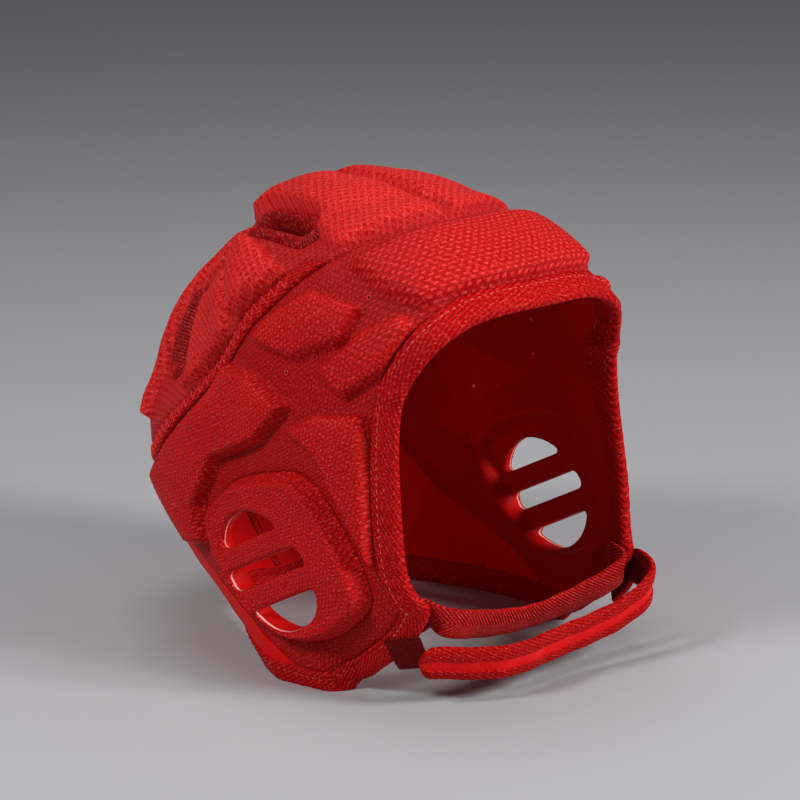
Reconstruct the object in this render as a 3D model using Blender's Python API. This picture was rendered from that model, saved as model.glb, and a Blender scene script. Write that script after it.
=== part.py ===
"""Soft head guard for contact sport, modelled as padded pieces around one head form.

The pieces are laid out in the wearer's head frame, in millimetres: x to the wearer's left, y to the
back, z up, origin midway between the ears. A point of the shell is an azimuth from the front and an
elevation, in degrees, and a height over the form. An empty tips the guard back onto its lower rim.
"""

import bmesh
import bpy
import numpy as np

# Head form
HALF_WIDTH = 86.0
DEPTH = 120.0
RISE = 136.0
DROP = 118.0
PLAN_POWER = 2.5
SIDE_POWER = 2.6
FORM_CENTRE = np.array([0.0, 12.0, 24.0])
BROW_FLARE = 19.0
FLARE_TOP_ELEVATION = 45.0
FLARE_FULL_ELEVATION = 18.0
FLARE_FULL_AZIMUTH = 20.0
FLARE_END_AZIMUTH = 44.0

# How the guard stands: tipped back, cut off level where the rim meets the surface
TIP_BACK = np.radians(27.0)
FLOOR_LEVEL = -61.0
FLOOR_BLEND = 1.2

# Foam and cloth heights over the form
GROOVE_OUTER = 2.0
SHELL_INNER = -3.5
NAPE_OUTER = 1.5
NAPE_INNER = -3.0
BINDING_OUTER = 3.2
BINDING_INNER = -3.6
TAPE_OUTER = 3.2
TAPE_INNER = -3.0
TAPE_CREST = 0.5
PAD_EDGE = 7.0
PIECE_GAP = 0.35

# Widths along the shell
BINDING_WIDTH = 12.0
TAPE_WIDTH = 8.0
TRIM_WIDTH = 3.6
TRIM_GAP = 1.1
SEAM_GAP = 0.8
MM_PER_ELEVATION = 2.05
MM_PER_AZIMUTH = 1.8
MM_PER_CROWN_DEGREE = 2.25
FAR_MM = 400.0
RING_SPACING = 5.0

# Grid steps, in degrees
AZIMUTH_STEP = 5.0
ELEVATION_STEP = 4.5
FINE_AZIMUTHS = (45.0, 65.0)
FINE_ELEVATIONS = (-50.0, -22.0)
NAPE_STEP = 7.0
CUP_STEP = 3.4
CROWN_STEP = 4.4
TAPE_STEP = 4.0
RIM_STEP = 3.0
SNAP = 0.3

# Chart spans that hold each piece, in degrees
SHELL_ELEVATIONS = (-58.0, 50.0)
FRONT_REACH = 145.0
FACE_REACH = 60.0
REAR_SPAN = (40.0, 320.0)
RIM_START = 78.0
CUP_AZIMUTHS = (49.0, 116.0)
CUP_ELEVATIONS = (-44.0, 15.0)
CROWN_STEPS_ACROSS = (-12, 13)
CROWN_STEPS_ALONG = (-11, 17)

# Face opening from mid brow to jaw: azimuth, elevation
FACE_EDGE = (
    (0.0, 16.6),
    (14.0, 16.4),
    (22.0, 15.0),
    (28.0, 12.0),
    (32.5, 8.0),
    (36.5, 1.5),
    (40.0, -7.0),
    (43.2, -18.0),
    (45.2, -27.0),
    (44.6, -32.0),
    (42.5, -35.5),
)

# Cheek bottom from jaw to where the rim reaches the surface: azimuth, elevation
CHEEK_EDGE = (
    (46.0, -40.0),
    (53.0, -45.0),
    (62.0, -48.5),
    (72.0, -50.5),
)

# Seam between the front panel and the crown, then crown and nape: azimuth, elevation
CROWN_SEAM = (
    (0.0, 45.5),
    (48.0, 46.4),
    (69.0, 45.0),
    (99.0, 38.7),
    (120.0, 30.0),
    (137.0, 23.0),
    (180.0, 17.0),
)
TAPE_START = 38.0
TAPE_FULL = 48.0
TAPE_TIP = 3.0

# Seam between the front panel and the nape panel: azimuth, elevation
NAPE_SEAM = (
    (139.0, 24.0),
    (126.0, -5.0),
    (93.0, -45.0),
    (88.0, -60.0),
)

# Pads of the front panel, one side each: azimuth, elevation
FOREHEAD_PAD = ((-34.0, 41.5), (34.0, 41.5), (30.0, 33.0), (23.0, 22.5), (-23.0, 22.5), (-30.0, 33.0))
UPPER_TEMPLE_PAD = ((70.0, 41.5), (60.0, 43.5), (45.0, 42.0), (34.0, 32.0), (42.0, 28.0), (56.0, 31.0))
LOWER_TEMPLE_PAD = ((51.0, 26.0), (37.0, 28.0), (28.0, 26.5), (25.5, 22.5), (34.0, 17.5), (46.0, 17.0))
CHEEK_PAD = ((65.0, 17.0), (54.0, 17.0), (42.0, 12.0), (46.0, -8.0), (53.0, -26.0), (57.0, -3.0), (58.0, 7.0))
SIDE_PAD = (
    (135.0, 20.0),
    (117.0, 28.5),
    (83.0, 40.5),
    (70.0, 33.0),
    (61.0, 22.0),
    (76.0, 18.0),
    (97.0, 19.0),
    (112.0, 8.0),
    (115.0, -3.0),
    (124.0, -1.0),
)
FRONT_PADS = (
    (FOREHEAD_PAD, 7.0),
    (UPPER_TEMPLE_PAD, 7.0),
    (LOWER_TEMPLE_PAD, 6.5),
    (CHEEK_PAD, 6.5),
    (SIDE_PAD, 8.0),
)

# Ear cup: outline as azimuth, elevation; slots as offsets from the cup's middle, in millimetres
CUP_OUTLINE = (
    (93.0, 11.0),
    (77.0, 9.0),
    (64.5, 4.0),
    (58.5, -9.0),
    (56.0, -26.0),
    (60.0, -34.5),
    (78.0, -39.5),
    (96.0, -33.5),
    (107.0, -19.0),
    (111.0, -2.0),
    (106.0, 7.0),
)
CUP_RISE = 10.5
CUP_OUTER_EDGE = 3.0
CUP_INNER_RISE = 7.0
CUP_EDGE = 9.0
CUP_RIM_INSET = 3.0
SLOT_CENTRE_Y = 8.0
SLOT_CENTRE_Z = -3.0
SLOT_OVAL_LENGTH = 62.0
SLOT_OVAL_WIDTH = 47.0
SLOT_OVAL_LEAN = np.radians(-35.0)
SLOT_BAR_HEIGHTS = (10.5, -9.5)
SLOT_BAR_WIDTH = 8.5
SLOT_CORNER = 3.0

# Crown pads, right half; openings; all in degrees from the top, x to the left and y to the back
CROWN_FRONT_PAD = ((-1.5, -44.0), (-26.0, -35.5), (-20.5, -23.0), (-11.5, 3.0), (-1.5, 5.0))
CROWN_SIDE_PAD = ((-34.0, -29.0), (-44.5, -11.0), (-27.0, -3.0), (-22.5, -8.0))
CROWN_REAR_SIDE_PAD = ((-45.0, -7.5), (-48.0, 21.0), (-29.0, 9.0), (-26.0, -0.5))
CROWN_BACK_PAD = ((-38.0, 44.0), (-4.0, 68.0), (-1.5, 12.0), (-14.0, 9.5), (-24.0, 23.0))
CROWN_PADS = (
    (CROWN_FRONT_PAD, 10.5),
    (CROWN_SIDE_PAD, 8.5),
    (CROWN_REAR_SIDE_PAD, 6.5),
    (CROWN_BACK_PAD, 6.0),
)
CROWN_PAD_EDGE = 8.0
FRONT_OPENING_ENDS = ((-22.0, -26.0), (-15.5, -1.5))
REAR_OPENING_ENDS = ((-38.5, 29.5), (-23.5, 14.5))
FRONT_OPENING_WIDTH = 19.5
REAR_OPENING_WIDTH = 18.0

# Chin band and chin strap: side and flat are half-shares of thickness and width in the section;
# cheek rows are azimuth, elevation; free rows are x, y, level, lean
BAND_WIDTH = 14.0
BAND_THICKNESS = 2.6
BAND_CLEARANCE = 2.0
BAND_SEWN = ((57.0, -40.5), (50.0, -39.5), (45.5, -38.0))
BAND_RUN = (
    (-52.0, -77.0, -22.0, -10.0),
    (0.0, -73.0, -31.0, -25.0),
    (52.0, -77.0, -22.0, -10.0),
)
STRAP_SIDE = 0.4
STRAP_FLAT = 0.42
STRAP_WIDTH = 16.0
STRAP_THICKNESS = 3.0
LAP_CLEARANCE = 1.6
STRAP_LAP = ((58.0, -47.0), (52.0, -46.5), (47.5, -45.5))
STRAP_RUN = (
    (-32.0, -87.0, -42.0, -10.0),
    (5.0, -85.0, -42.0, -10.0),
    (42.0, -89.0, -36.0, -10.0),
    (64.0, -88.0, -27.0, -5.0),
)
STRAP_SEWN = ((59.0, -45.0), (52.0, -42.0), (46.0, -39.0))
PATCH_THICKNESS = 1.6
PATCH_AZIMUTHS = (47.0, 58.0)
PATCH_ELEVATIONS = (-49.0, -41.0)

# Cloth colours: red, green, blue, then roughness
PANEL_CLOTH = ("panel_knit", (0.62, 0.010, 0.012), 0.55)
CROWN_CLOTH = ("crown_knit", (0.58, 0.009, 0.011), 0.58)
NAPE_CLOTH = ("nape_stretch_cloth", (0.50, 0.012, 0.014), 0.62)
TAPE_CLOTH = ("binding_twill", (0.42, 0.008, 0.010), 0.66)
TRIM_CLOTH = ("ribbed_elastic", (0.34, 0.006, 0.009), 0.70)
STRAP_CLOTH = ("strap_satin", (0.66, 0.012, 0.014), 0.42)


def smooth_step(value):
    """Eases from 0 to 1 as value goes from 0 to 1."""
    held = np.clip(value, 0.0, 1.0)
    return held * held * (3.0 - 2.0 * held)


def axis_direction(azimuth, elevation):
    """Unit vectors from the form's centre."""
    turn, lift = np.radians(azimuth), np.radians(elevation)
    level = np.cos(lift)
    return np.stack([np.sin(turn) * level, -np.cos(turn) * level, np.sin(lift)], axis=-1)


def form_point(azimuth, elevation):
    """Points of the form and its outward normals there."""
    ray = axis_direction(azimuth, elevation)
    height = np.where(ray[..., 2] < 0.0, DROP, RISE)
    half = np.stack([np.full_like(height, HALF_WIDTH), np.full_like(height, DEPTH), height], axis=-1)
    part = np.abs(ray) / half
    plan = part[..., 0] ** PLAN_POWER + part[..., 1] ** PLAN_POWER + 1e-12
    level = plan ** (SIDE_POWER / PLAN_POWER) + part[..., 2] ** SIDE_POWER
    point = ray * (level ** (-1.0 / SIDE_POWER))[..., None]
    round_plan = plan ** (SIDE_POWER / PLAN_POWER - 1.0)
    slope = np.sign(ray) / half
    slope[..., 0] *= round_plan * part[..., 0] ** (PLAN_POWER - 1.0)
    slope[..., 1] *= round_plan * part[..., 1] ** (PLAN_POWER - 1.0)
    slope[..., 2] *= part[..., 2] ** (SIDE_POWER - 1.0)
    normal = slope / np.linalg.norm(slope, axis=-1, keepdims=True)
    return point + FORM_CENTRE, normal


def brow_flare(azimuth, elevation):
    """How far the brow stands forward of the form."""
    down = (FLARE_TOP_ELEVATION - elevation) / (FLARE_TOP_ELEVATION - FLARE_FULL_ELEVATION)
    side = (FLARE_END_AZIMUTH - np.abs(azimuth)) / (FLARE_END_AZIMUTH - FLARE_FULL_AZIMUTH)
    return BROW_FLARE * np.clip(down, 0.0, 1.0) * smooth_step(side)


def shell_point(azimuth, elevation, height):
    """A point at this height over the flared form."""
    point, normal = form_point(azimuth, elevation)
    return point + normal * (height + brow_flare(azimuth, elevation))[..., None]


def standing_level(points):
    """Height of head-frame points once the guard is tipped back."""
    return points[..., 2] * np.cos(TIP_BACK) - points[..., 1] * np.sin(TIP_BACK)


def set_standing_level(points, level):
    """Moves head-frame points straight up or down in the standing pose to this level."""
    move = level - standing_level(points)
    up = np.array([0.0, -np.sin(TIP_BACK), np.cos(TIP_BACK)])
    return points + move[..., None] * up


def head_frame(standing):
    """Head-frame points for x, y and level of the standing pose."""
    x, y, z = np.moveaxis(np.asarray(standing, float), -1, 0)
    back = y * np.cos(TIP_BACK) - z * np.sin(TIP_BACK)
    up = y * np.sin(TIP_BACK) + z * np.cos(TIP_BACK)
    return np.stack([x, back, up], axis=-1)


def smooth_curve(corners, per_corner, closed):
    """A curve through the corners, with this many points per corner."""
    corners = np.asarray(corners, float)
    count = len(corners)
    spans = count if closed else count - 1
    ring = []
    for i in range(spans):
        if closed:
            a, b, c, d = (corners[(i + k) % count] for k in (-1, 0, 1, 2))
        else:
            b, c = corners[i], corners[i + 1]
            a = corners[i - 1] if i > 0 else 2 * b - c
            d = corners[i + 2] if i + 2 < count else 2 * c - b
        for t in np.arange(per_corner) / per_corner:
            ring.append(
                0.5 * (2 * b + (c - a) * t + (2 * a - 5 * b + 4 * c - d) * t**2 + (3 * b - a - 3 * c + d) * t**3)
            )
    if not closed:
        ring.append(corners[-1])
    return np.array(ring)


def line_distance(points, line):
    """Distance of plane points to an open line."""
    best = np.full(len(points), np.inf)
    for start, end in zip(line[:-1], line[1:]):
        along = end - start
        reach = np.clip((points - start) @ along / max(along @ along, 1e-9), 0.0, 1.0)
        best = np.minimum(best, np.linalg.norm(points - start - reach[:, None] * along, axis=1))
    return best


def is_inside(points, ring):
    """Whether plane points lie inside a closed ring."""
    inside = np.zeros(len(points), bool)
    for start, end in zip(ring, np.roll(ring, -1, axis=0)):
        spans = (start[1] > points[:, 1]) != (end[1] > points[:, 1])
        rise = end[1] - start[1] if abs(end[1] - start[1]) > 1e-9 else 1e-9
        cross = start[0] + (points[:, 1] - start[1]) * (end[0] - start[0]) / rise
        inside ^= spans & (points[:, 0] < cross)
    return inside


def depth_inside(points, ring):
    """Signed distance to a closed ring, positive inside."""
    away = line_distance(points, np.vstack([ring, ring[:1]]))
    return np.where(is_inside(points, ring), away, -away)


def panel_plane(azimuth, elevation):
    """Millimetre plane of one side of the front panel."""
    return np.stack([np.abs(azimuth) * MM_PER_AZIMUTH, elevation * MM_PER_ELEVATION], axis=-1)


def crown_plane(azimuth, elevation):
    """Millimetre plane of the crown's right half, seen from the top."""
    turn = np.radians(azimuth)
    out = (90.0 - elevation) * MM_PER_CROWN_DEGREE
    return np.stack([-np.abs(out * np.sin(turn)), -out * np.cos(turn)], axis=-1)


def floor_elevation(azimuth):
    """Elevation at which the form meets the standing level."""
    low, high = np.full_like(azimuth, -75.0), np.full_like(azimuth, 20.0)
    for _ in range(30):
        middle = (low + high) / 2
        below = standing_level(shell_point(azimuth, middle, 0.0 * middle)) < FLOOR_LEVEL
        low, high = np.where(below, middle, low), np.where(below, high, middle)
    return high


def table_plane(rows):
    """A table of azimuth and elevation in the panel plane."""
    rows = np.asarray(rows, float)
    return panel_plane(rows[:, 0], rows[:, 1])


def rim_azimuths():
    """Azimuths of the rim from where it reaches the surface to mid nape."""
    return np.arange(RIM_START, 180.0 + RIM_STEP / 2, RIM_STEP)


def lower_edge():
    """Face opening, cheek and rim as one line in the panel plane, from mid brow to mid nape."""
    front = smooth_curve(table_plane(FACE_EDGE + CHEEK_EDGE), 4, False)
    azimuth = rim_azimuths()
    rear = panel_plane(azimuth, floor_elevation(azimuth))
    return np.vstack([front, rear])


LOWER_EDGE = lower_edge()
CUP_RING = smooth_curve(table_plane(CUP_OUTLINE), 4, True)
NAPE_LINE = table_plane(NAPE_SEAM)
JAW = table_plane(FACE_EDGE)[-1]


def edge_depth(azimuth, elevation):
    """Distance into the shell from the face opening and the rim."""
    points = panel_plane(azimuth, elevation)
    mirrored = np.array([-1.0, 1.0])
    doubled = np.vstack([LOWER_EDGE[1:][::-1] * mirrored, LOWER_EDGE])
    away = line_distance(points, doubled)
    right, left = LOWER_EDGE[-1] + [FAR_MM, 0.0], LOWER_EDGE[0] - [FAR_MM, 0.0]
    ring = np.vstack([LOWER_EDGE, [right, [right[0], FAR_MM], [left[0], FAR_MM], left]])
    return np.where(is_inside(points, ring), away, -away)


def seam_elevation(azimuth):
    """Elevation of the crown seam."""
    rows = np.asarray(CROWN_SEAM)
    return np.interp(np.abs(wrapped(azimuth)), rows[:, 0], rows[:, 1])


def wrapped(azimuth):
    """Azimuth between -180 and 180."""
    return (np.asarray(azimuth) + 180.0) % 360.0 - 180.0


def tape_width(azimuth):
    """Width of the crown tape, which runs out beside the front openings."""
    return TAPE_WIDTH * smooth_step((np.abs(wrapped(azimuth)) - TAPE_START) / (TAPE_FULL - TAPE_START))


def behind_nape_seam(azimuth, elevation):
    """Distance behind the seam between front panel and nape."""
    points = panel_plane(wrapped(azimuth), elevation)
    top, bottom = NAPE_LINE[:1] + [0.0, FAR_MM], NAPE_LINE[-1:] - [0.0, FAR_MM]
    line = np.vstack([top, NAPE_LINE, bottom])
    ring = np.vstack([line, [[-FAR_MM, bottom[0, 1]], [-FAR_MM, top[0, 1]]]])
    away = line_distance(points, line)
    return np.where(is_inside(points, ring), -away, away)


def raised(points, pads, edge):
    """Height of the pads over the groove level."""
    height = np.zeros(len(points))
    for ring, rise in pads:
        height = np.maximum(height, rise * smooth_step(depth_inside(points, ring) / edge))
    return height


PANEL_PADS = [(table_plane(rows), rise) for rows, rise in FRONT_PADS[1:]]
FOREHEAD_RING = np.asarray(FOREHEAD_PAD) * [MM_PER_AZIMUTH, MM_PER_ELEVATION]
CROWN_RINGS = [(np.asarray(rows) * MM_PER_CROWN_DEGREE, rise) for rows, rise in CROWN_PADS]


def panel_outer(azimuth, elevation):
    """Outer height of the front panel."""
    side = panel_plane(azimuth, elevation)
    front = np.stack([azimuth * MM_PER_AZIMUTH, elevation * MM_PER_ELEVATION], axis=-1)
    middle = [(FOREHEAD_RING, FRONT_PADS[0][1])]
    return GROOVE_OUTER + np.maximum(raised(side, PANEL_PADS, PAD_EDGE), raised(front, middle, PAD_EDGE))


def cup_depth(azimuth, elevation):
    """Distance into the ear cup's outline."""
    return depth_inside(panel_plane(azimuth, elevation), CUP_RING)


def cup_outer(azimuth, elevation):
    """Outer height of an ear cup, a plateau with a rolled edge."""
    return CUP_OUTER_EDGE + (CUP_RISE - CUP_OUTER_EDGE) * smooth_step(cup_depth(azimuth, elevation) / CUP_EDGE)


def cup_inner(azimuth, elevation):
    """Inner height of an ear cup, hollowed for the ear behind a raised ring."""
    inset = cup_depth(azimuth, elevation) - CUP_RIM_INSET
    return SHELL_INNER + CUP_INNER_RISE * smooth_step(inset / CUP_EDGE)


def slot_depth(azimuth, elevation):
    """Distance into the nearest ear slot: a leaning oval crossed by two bars."""
    point = form_point(azimuth, elevation)[0]
    y = point[..., 1] - SLOT_CENTRE_Y
    z = point[..., 2] - SLOT_CENTRE_Z
    along = z * np.cos(SLOT_OVAL_LEAN) - y * np.sin(SLOT_OVAL_LEAN)
    across = z * np.sin(SLOT_OVAL_LEAN) + y * np.cos(SLOT_OVAL_LEAN)
    reach = np.hypot(along / (SLOT_OVAL_LENGTH / 2), across / (SLOT_OVAL_WIDTH / 2))
    oval = (1.0 - reach) * SLOT_OVAL_WIDTH / 2
    best = np.full_like(oval, -np.inf)
    top, bottom = SLOT_BAR_HEIGHTS
    half = SLOT_BAR_WIDTH / 2
    for low, high in ((top + half, np.inf), (bottom + half, top - half), (-np.inf, bottom - half)):
        band = np.minimum(z - low, high - z)
        corner = SLOT_CORNER - np.hypot(np.maximum(SLOT_CORNER - oval, 0), np.maximum(SLOT_CORNER - band, 0))
        deep = np.minimum(np.minimum(oval, band), corner)
        best = np.maximum(best, deep)
    return best


def crown_outer(azimuth, elevation):
    """Outer height of the crown."""
    return GROOVE_OUTER + raised(crown_plane(azimuth, elevation), CROWN_RINGS, CROWN_PAD_EDGE)


def opening_ring(ends, width):
    """A round-ended slot in the crown plane."""
    first, last = np.asarray(ends) * MM_PER_CROWN_DEGREE
    along = (last - first) / np.linalg.norm(last - first)
    across = np.array([-along[1], along[0]])
    inset = width / 2
    ring = []
    for centre, start in ((last - along * inset, -90.0), (first + along * inset, 90.0)):
        for turn in np.radians(np.linspace(start, start + 180.0, 7)):
            ring.append(centre + inset * (np.cos(turn) * along + np.sin(turn) * across))
    return spaced_ring(np.array(ring), RING_SPACING)


def spaced_ring(ring, spacing):
    """A closed ring with points added so that none lie further apart than the spacing."""
    points = []
    for start, end in zip(ring, np.roll(ring, -1, axis=0)):
        count = int(np.ceil(np.linalg.norm(end - start) / spacing))
        points += [start + (end - start) * k / count for k in range(count)]
    return np.array(points)


FRONT_OPENING = opening_ring(FRONT_OPENING_ENDS, FRONT_OPENING_WIDTH)
REAR_OPENING = opening_ring(REAR_OPENING_ENDS, REAR_OPENING_WIDTH)


def keep_crown(azimuth, elevation):
    """Where the crown is: above the seam and its tape, outside the openings."""
    points = crown_plane(azimuth, elevation)
    margin = (elevation - seam_elevation(azimuth)) * MM_PER_ELEVATION - tape_width(azimuth) - SEAM_GAP
    for ring in (FRONT_OPENING, REAR_OPENING):
        margin = np.minimum(margin, -depth_inside(points, ring))
    return margin


def below_crown(azimuth, elevation):
    return (seam_elevation(azimuth) - elevation) * MM_PER_ELEVATION


def keep_panel(azimuth, elevation):
    """Where the front panel is."""
    margin = np.minimum(below_crown(azimuth, elevation), edge_depth(azimuth, elevation) - BINDING_WIDTH - PIECE_GAP)
    margin = np.minimum(margin, -behind_nape_seam(azimuth, elevation))
    return np.minimum(margin, -cup_depth(azimuth, elevation) - PIECE_GAP)


def keep_nape(azimuth, elevation):
    """Where the nape panel is."""
    azimuth = wrapped(azimuth)
    margin = np.minimum(below_crown(azimuth, elevation), edge_depth(azimuth, elevation) - BINDING_WIDTH - PIECE_GAP)
    return np.minimum(margin, behind_nape_seam(azimuth, elevation) - PIECE_GAP)


def behind_jaw(azimuth, elevation):
    """Distance behind the corner where face binding and rim binding meet."""
    points = panel_plane(wrapped(azimuth), elevation)
    return ((points - JAW) @ np.array([1.0, -1.0])) / np.sqrt(2.0)


def keep_face_binding(azimuth, elevation):
    edge = edge_depth(azimuth, elevation)
    margin = np.minimum(edge, BINDING_WIDTH - edge)
    return np.minimum(margin, -behind_jaw(azimuth, elevation))


def keep_rim_binding(azimuth, elevation):
    edge = edge_depth(wrapped(azimuth), elevation)
    margin = np.minimum(edge, BINDING_WIDTH - edge)
    return np.minimum(margin, behind_jaw(azimuth, elevation) - PIECE_GAP)


def keep_cup(azimuth, elevation):
    return np.minimum(cup_depth(azimuth, elevation), -slot_depth(azimuth, elevation))


def slope_of(keep, points, step=0.05):
    """Gradient of keep over the chart."""
    x, y = points[:, 0], points[:, 1]
    across = (keep(x + step, y) - keep(x - step, y)) / (2 * step)
    up = (keep(x, y + step) - keep(x, y - step)) / (2 * step)
    return np.stack([across, up], axis=-1)


def moved_to_edge(keep, points, rounds=3):
    """Chart points moved onto the line where keep is zero."""
    points = points.copy()
    for _ in range(rounds):
        value = keep(points[:, 0], points[:, 1])
        slope = slope_of(keep, points)
        points -= slope * (value / np.maximum((slope**2).sum(axis=1), 0.4))[:, None]
    return points


def cut_chart(columns, rows, keep):
    """The part of a grid where keep is positive: chart points and faces."""
    grid = np.stack(np.meshgrid(columns, rows, indexing="ij"), axis=-1).reshape(-1, 2)
    value = keep(grid[:, 0], grid[:, 1])
    slope = np.linalg.norm(slope_of(keep, grid), axis=1)
    reach = SNAP * min(np.diff(columns).min(), np.diff(rows).min())
    near = np.abs(value) < reach * np.maximum(slope, 0.5)
    grid[near] = moved_to_edge(keep, grid[near])
    value[near] = 0.0
    crossings, faces = {}, []
    height = len(rows)

    def crossing(a, b):
        key = (a, b) if value[a] > 0 else (b, a)
        return crossings.setdefault(key, len(grid) + len(crossings))

    for i in range(len(columns) - 1):
        for j in range(height - 1):
            corners = (i * height + j, (i + 1) * height + j, (i + 1) * height + j + 1, i * height + j + 1)
            face = []
            for a, b in zip(corners, corners[1:] + corners[:1]):
                if value[a] >= 0:
                    face.append(a)
                if value[a] * value[b] < 0:
                    face.append(crossing(a, b))
            if len(face) > 2:
                faces.append(face)
    points = np.vstack([grid, crossing_points(grid, crossings, keep)])
    middles = np.array([points[face].mean(axis=0) for face in faces])
    kept = keep(middles[:, 0], middles[:, 1]) > 0
    return fitted_border(points, [face for face, good in zip(faces, kept) if good], keep)


def crossing_points(grid, crossings, keep):
    """Where the kept region's edge crosses the grid lines."""
    pairs = np.array(list(crossings))
    inside, outside = grid[pairs[:, 0]], grid[pairs[:, 1]]
    for _ in range(14):
        middle = (inside + outside) / 2
        deep = (keep(middle[:, 0], middle[:, 1]) > 0)[:, None]
        inside, outside = np.where(deep, middle, inside), np.where(deep, outside, middle)
    return (inside + outside) / 2


def border_of(faces):
    """Directed edges that only one face has."""
    edges = {(a, b) for face in faces for a, b in zip(face, face[1:] + face[:1])}
    return {(a, b) for a, b in edges if (b, a) not in edges}


def fitted_border(points, faces, keep):
    """Adds a point on the true edge to each border edge, and drops unused points."""
    border = sorted(border_of(faces))
    ends = np.array([[points[a], points[b]] for a, b in border])
    middle = ends.mean(axis=1)
    edge_value = np.abs(keep(ends[:, 0, 0], ends[:, 0, 1])) + np.abs(keep(ends[:, 1, 0], ends[:, 1, 1]))
    moved = moved_to_edge(keep, middle)
    length = np.linalg.norm(ends[:, 1] - ends[:, 0], axis=1)
    shift = np.linalg.norm(moved - middle, axis=1)
    added, everything = {}, [tuple(point) for point in points]
    for k, edge in enumerate(border):
        if edge_value[k] < 0.2 and 0.01 * length[k] < shift[k] < 0.3 * length[k]:
            added[edge] = len(everything)
            everything.append(tuple(moved[k]))
    whole = []
    for face in faces:
        new = []
        for a, b in zip(face, face[1:] + face[:1]):
            new.append(a)
            if (a, b) in added:
                new.append(added[a, b])
        whole.append(new)
    used = sorted({k for face in whole for k in face})
    index = {k: n for n, k in enumerate(used)}
    return np.array([everything[k] for k in used]), [[index[k] for k in face] for face in whole]


def cloth_material(name, colour, roughness):
    """A plain cloth surface, shared by the pieces of that cloth."""
    material = bpy.data.materials.get(name)
    if material is None:
        material = bpy.data.materials.new(name)
        material.use_nodes = True
        surface = material.node_tree.nodes["Principled BSDF"]
        surface.inputs["Base Color"].default_value = (*colour, 1.0)
        surface.inputs["Roughness"].default_value = roughness
        surface.inputs["Metallic"].default_value = 0.0
        material.diffuse_color = (*colour, 1.0)
    return material


def add_piece(name, points, faces, cloth, stand):
    """One named body from head-frame points in millimetres."""
    body = bmesh.new()
    verts = [body.verts.new(point) for point in np.asarray(points) / 1000.0]
    for face in faces:
        body.faces.new([verts[k] for k in face])
    mesh = bpy.data.meshes.new(name)
    body.to_mesh(mesh)
    body.free()
    mesh.materials.append(cloth_material(*cloth))
    mesh.shade_smooth()
    mesh.set_sharp_from_angle(angle=np.radians(50.0))
    piece = bpy.data.objects.new(name, mesh)
    piece.parent = stand
    bpy.context.collection.objects.link(piece)
    return piece


def flattened(points):
    """Rim points that reach the standing level, laid onto it."""
    low = standing_level(points) < FLOOR_LEVEL + FLOOR_BLEND
    points[low] = set_standing_level(points[low], FLOOR_LEVEL)
    return points


def shell_solid(name, chart, faces, heights, cloth, stand, resting=False):
    """A closed body between two heights over a region of the chart."""
    azimuth, elevation = chart[:, 0], chart[:, 1]
    outer = shell_point(azimuth, elevation, heights[0](azimuth, elevation))
    inner = shell_point(azimuth, elevation, heights[1](azimuth, elevation))
    if resting:
        level = standing_level(shell_point(azimuth, elevation, 0.0 * azimuth))
        foot = level < FLOOR_LEVEL + FLOOR_BLEND
        outer[foot] = set_standing_level(outer[foot], FLOOR_LEVEL)
        inner[foot] = set_standing_level(inner[foot], FLOOR_LEVEL)
        outer = flattened(outer)
    count = len(chart)
    solid = [face for face in faces]
    solid += [[k + count for k in face[::-1]] for face in faces]
    solid += [[b, a, a + count, b + count] for a, b in sorted(border_of(faces))]
    return add_piece(name, np.vstack([outer, inner]), solid, cloth, stand)


def fixed(height):
    """A height that is the same everywhere."""
    return lambda azimuth, elevation: np.full_like(azimuth, height)


def grid_lines(low, high, coarse, fine_spans):
    """Grid lines in coarse steps, halved inside the fine spans."""
    coarse_lines = np.arange(np.floor(low / coarse), np.ceil(high / coarse) + 1) * coarse
    halves = (coarse_lines[:-1] + coarse_lines[1:]) / 2
    wanted = [any(first <= line <= last for first, last in fine_spans) for line in halves]
    return np.union1d(coarse_lines, halves[wanted])


def panel_rows(low, high):
    return grid_lines(low, high, ELEVATION_STEP, (FINE_ELEVATIONS,))


def panel_columns(low, high):
    first, last = FINE_AZIMUTHS
    spans = ((-last, -first), (first, last), (360.0 - last, 360.0 - first))
    return grid_lines(low, high, AZIMUTH_STEP, spans)


def build_shell(stand):
    """Front panel, nape panel, bindings and crown."""
    rows = panel_rows(*SHELL_ELEVATIONS)
    around, behind = panel_columns(-FRONT_REACH, FRONT_REACH), panel_columns(*REAR_SPAN)
    chart, faces = cut_chart(around, rows, keep_panel)
    shell_solid("front_panel", chart, faces, (panel_outer, fixed(SHELL_INNER)), PANEL_CLOTH, stand)
    nape_columns, nape_rows = (grid_lines(*span, NAPE_STEP, ()) for span in (REAR_SPAN, SHELL_ELEVATIONS))
    chart, faces = cut_chart(nape_columns, nape_rows, keep_nape)
    shell_solid("nape_panel", chart, faces, (fixed(NAPE_OUTER), fixed(NAPE_INNER)), NAPE_CLOTH, stand)
    binding = (fixed(BINDING_OUTER), fixed(BINDING_INNER))
    chart, faces = cut_chart(panel_columns(-FACE_REACH, FACE_REACH), rows, keep_face_binding)
    shell_solid("face_binding", chart, faces, binding, TAPE_CLOTH, stand)
    chart, faces = cut_chart(behind, rows, keep_rim_binding)
    shell_solid("rim_binding", chart, faces, binding, TAPE_CLOTH, stand, resting=True)


def crown_chart(flat):
    """Azimuth and elevation of crown-plane degrees."""
    return np.degrees(np.arctan2(flat[:, 0], -flat[:, 1])), 90.0 - np.hypot(flat[:, 0], flat[:, 1])


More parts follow.
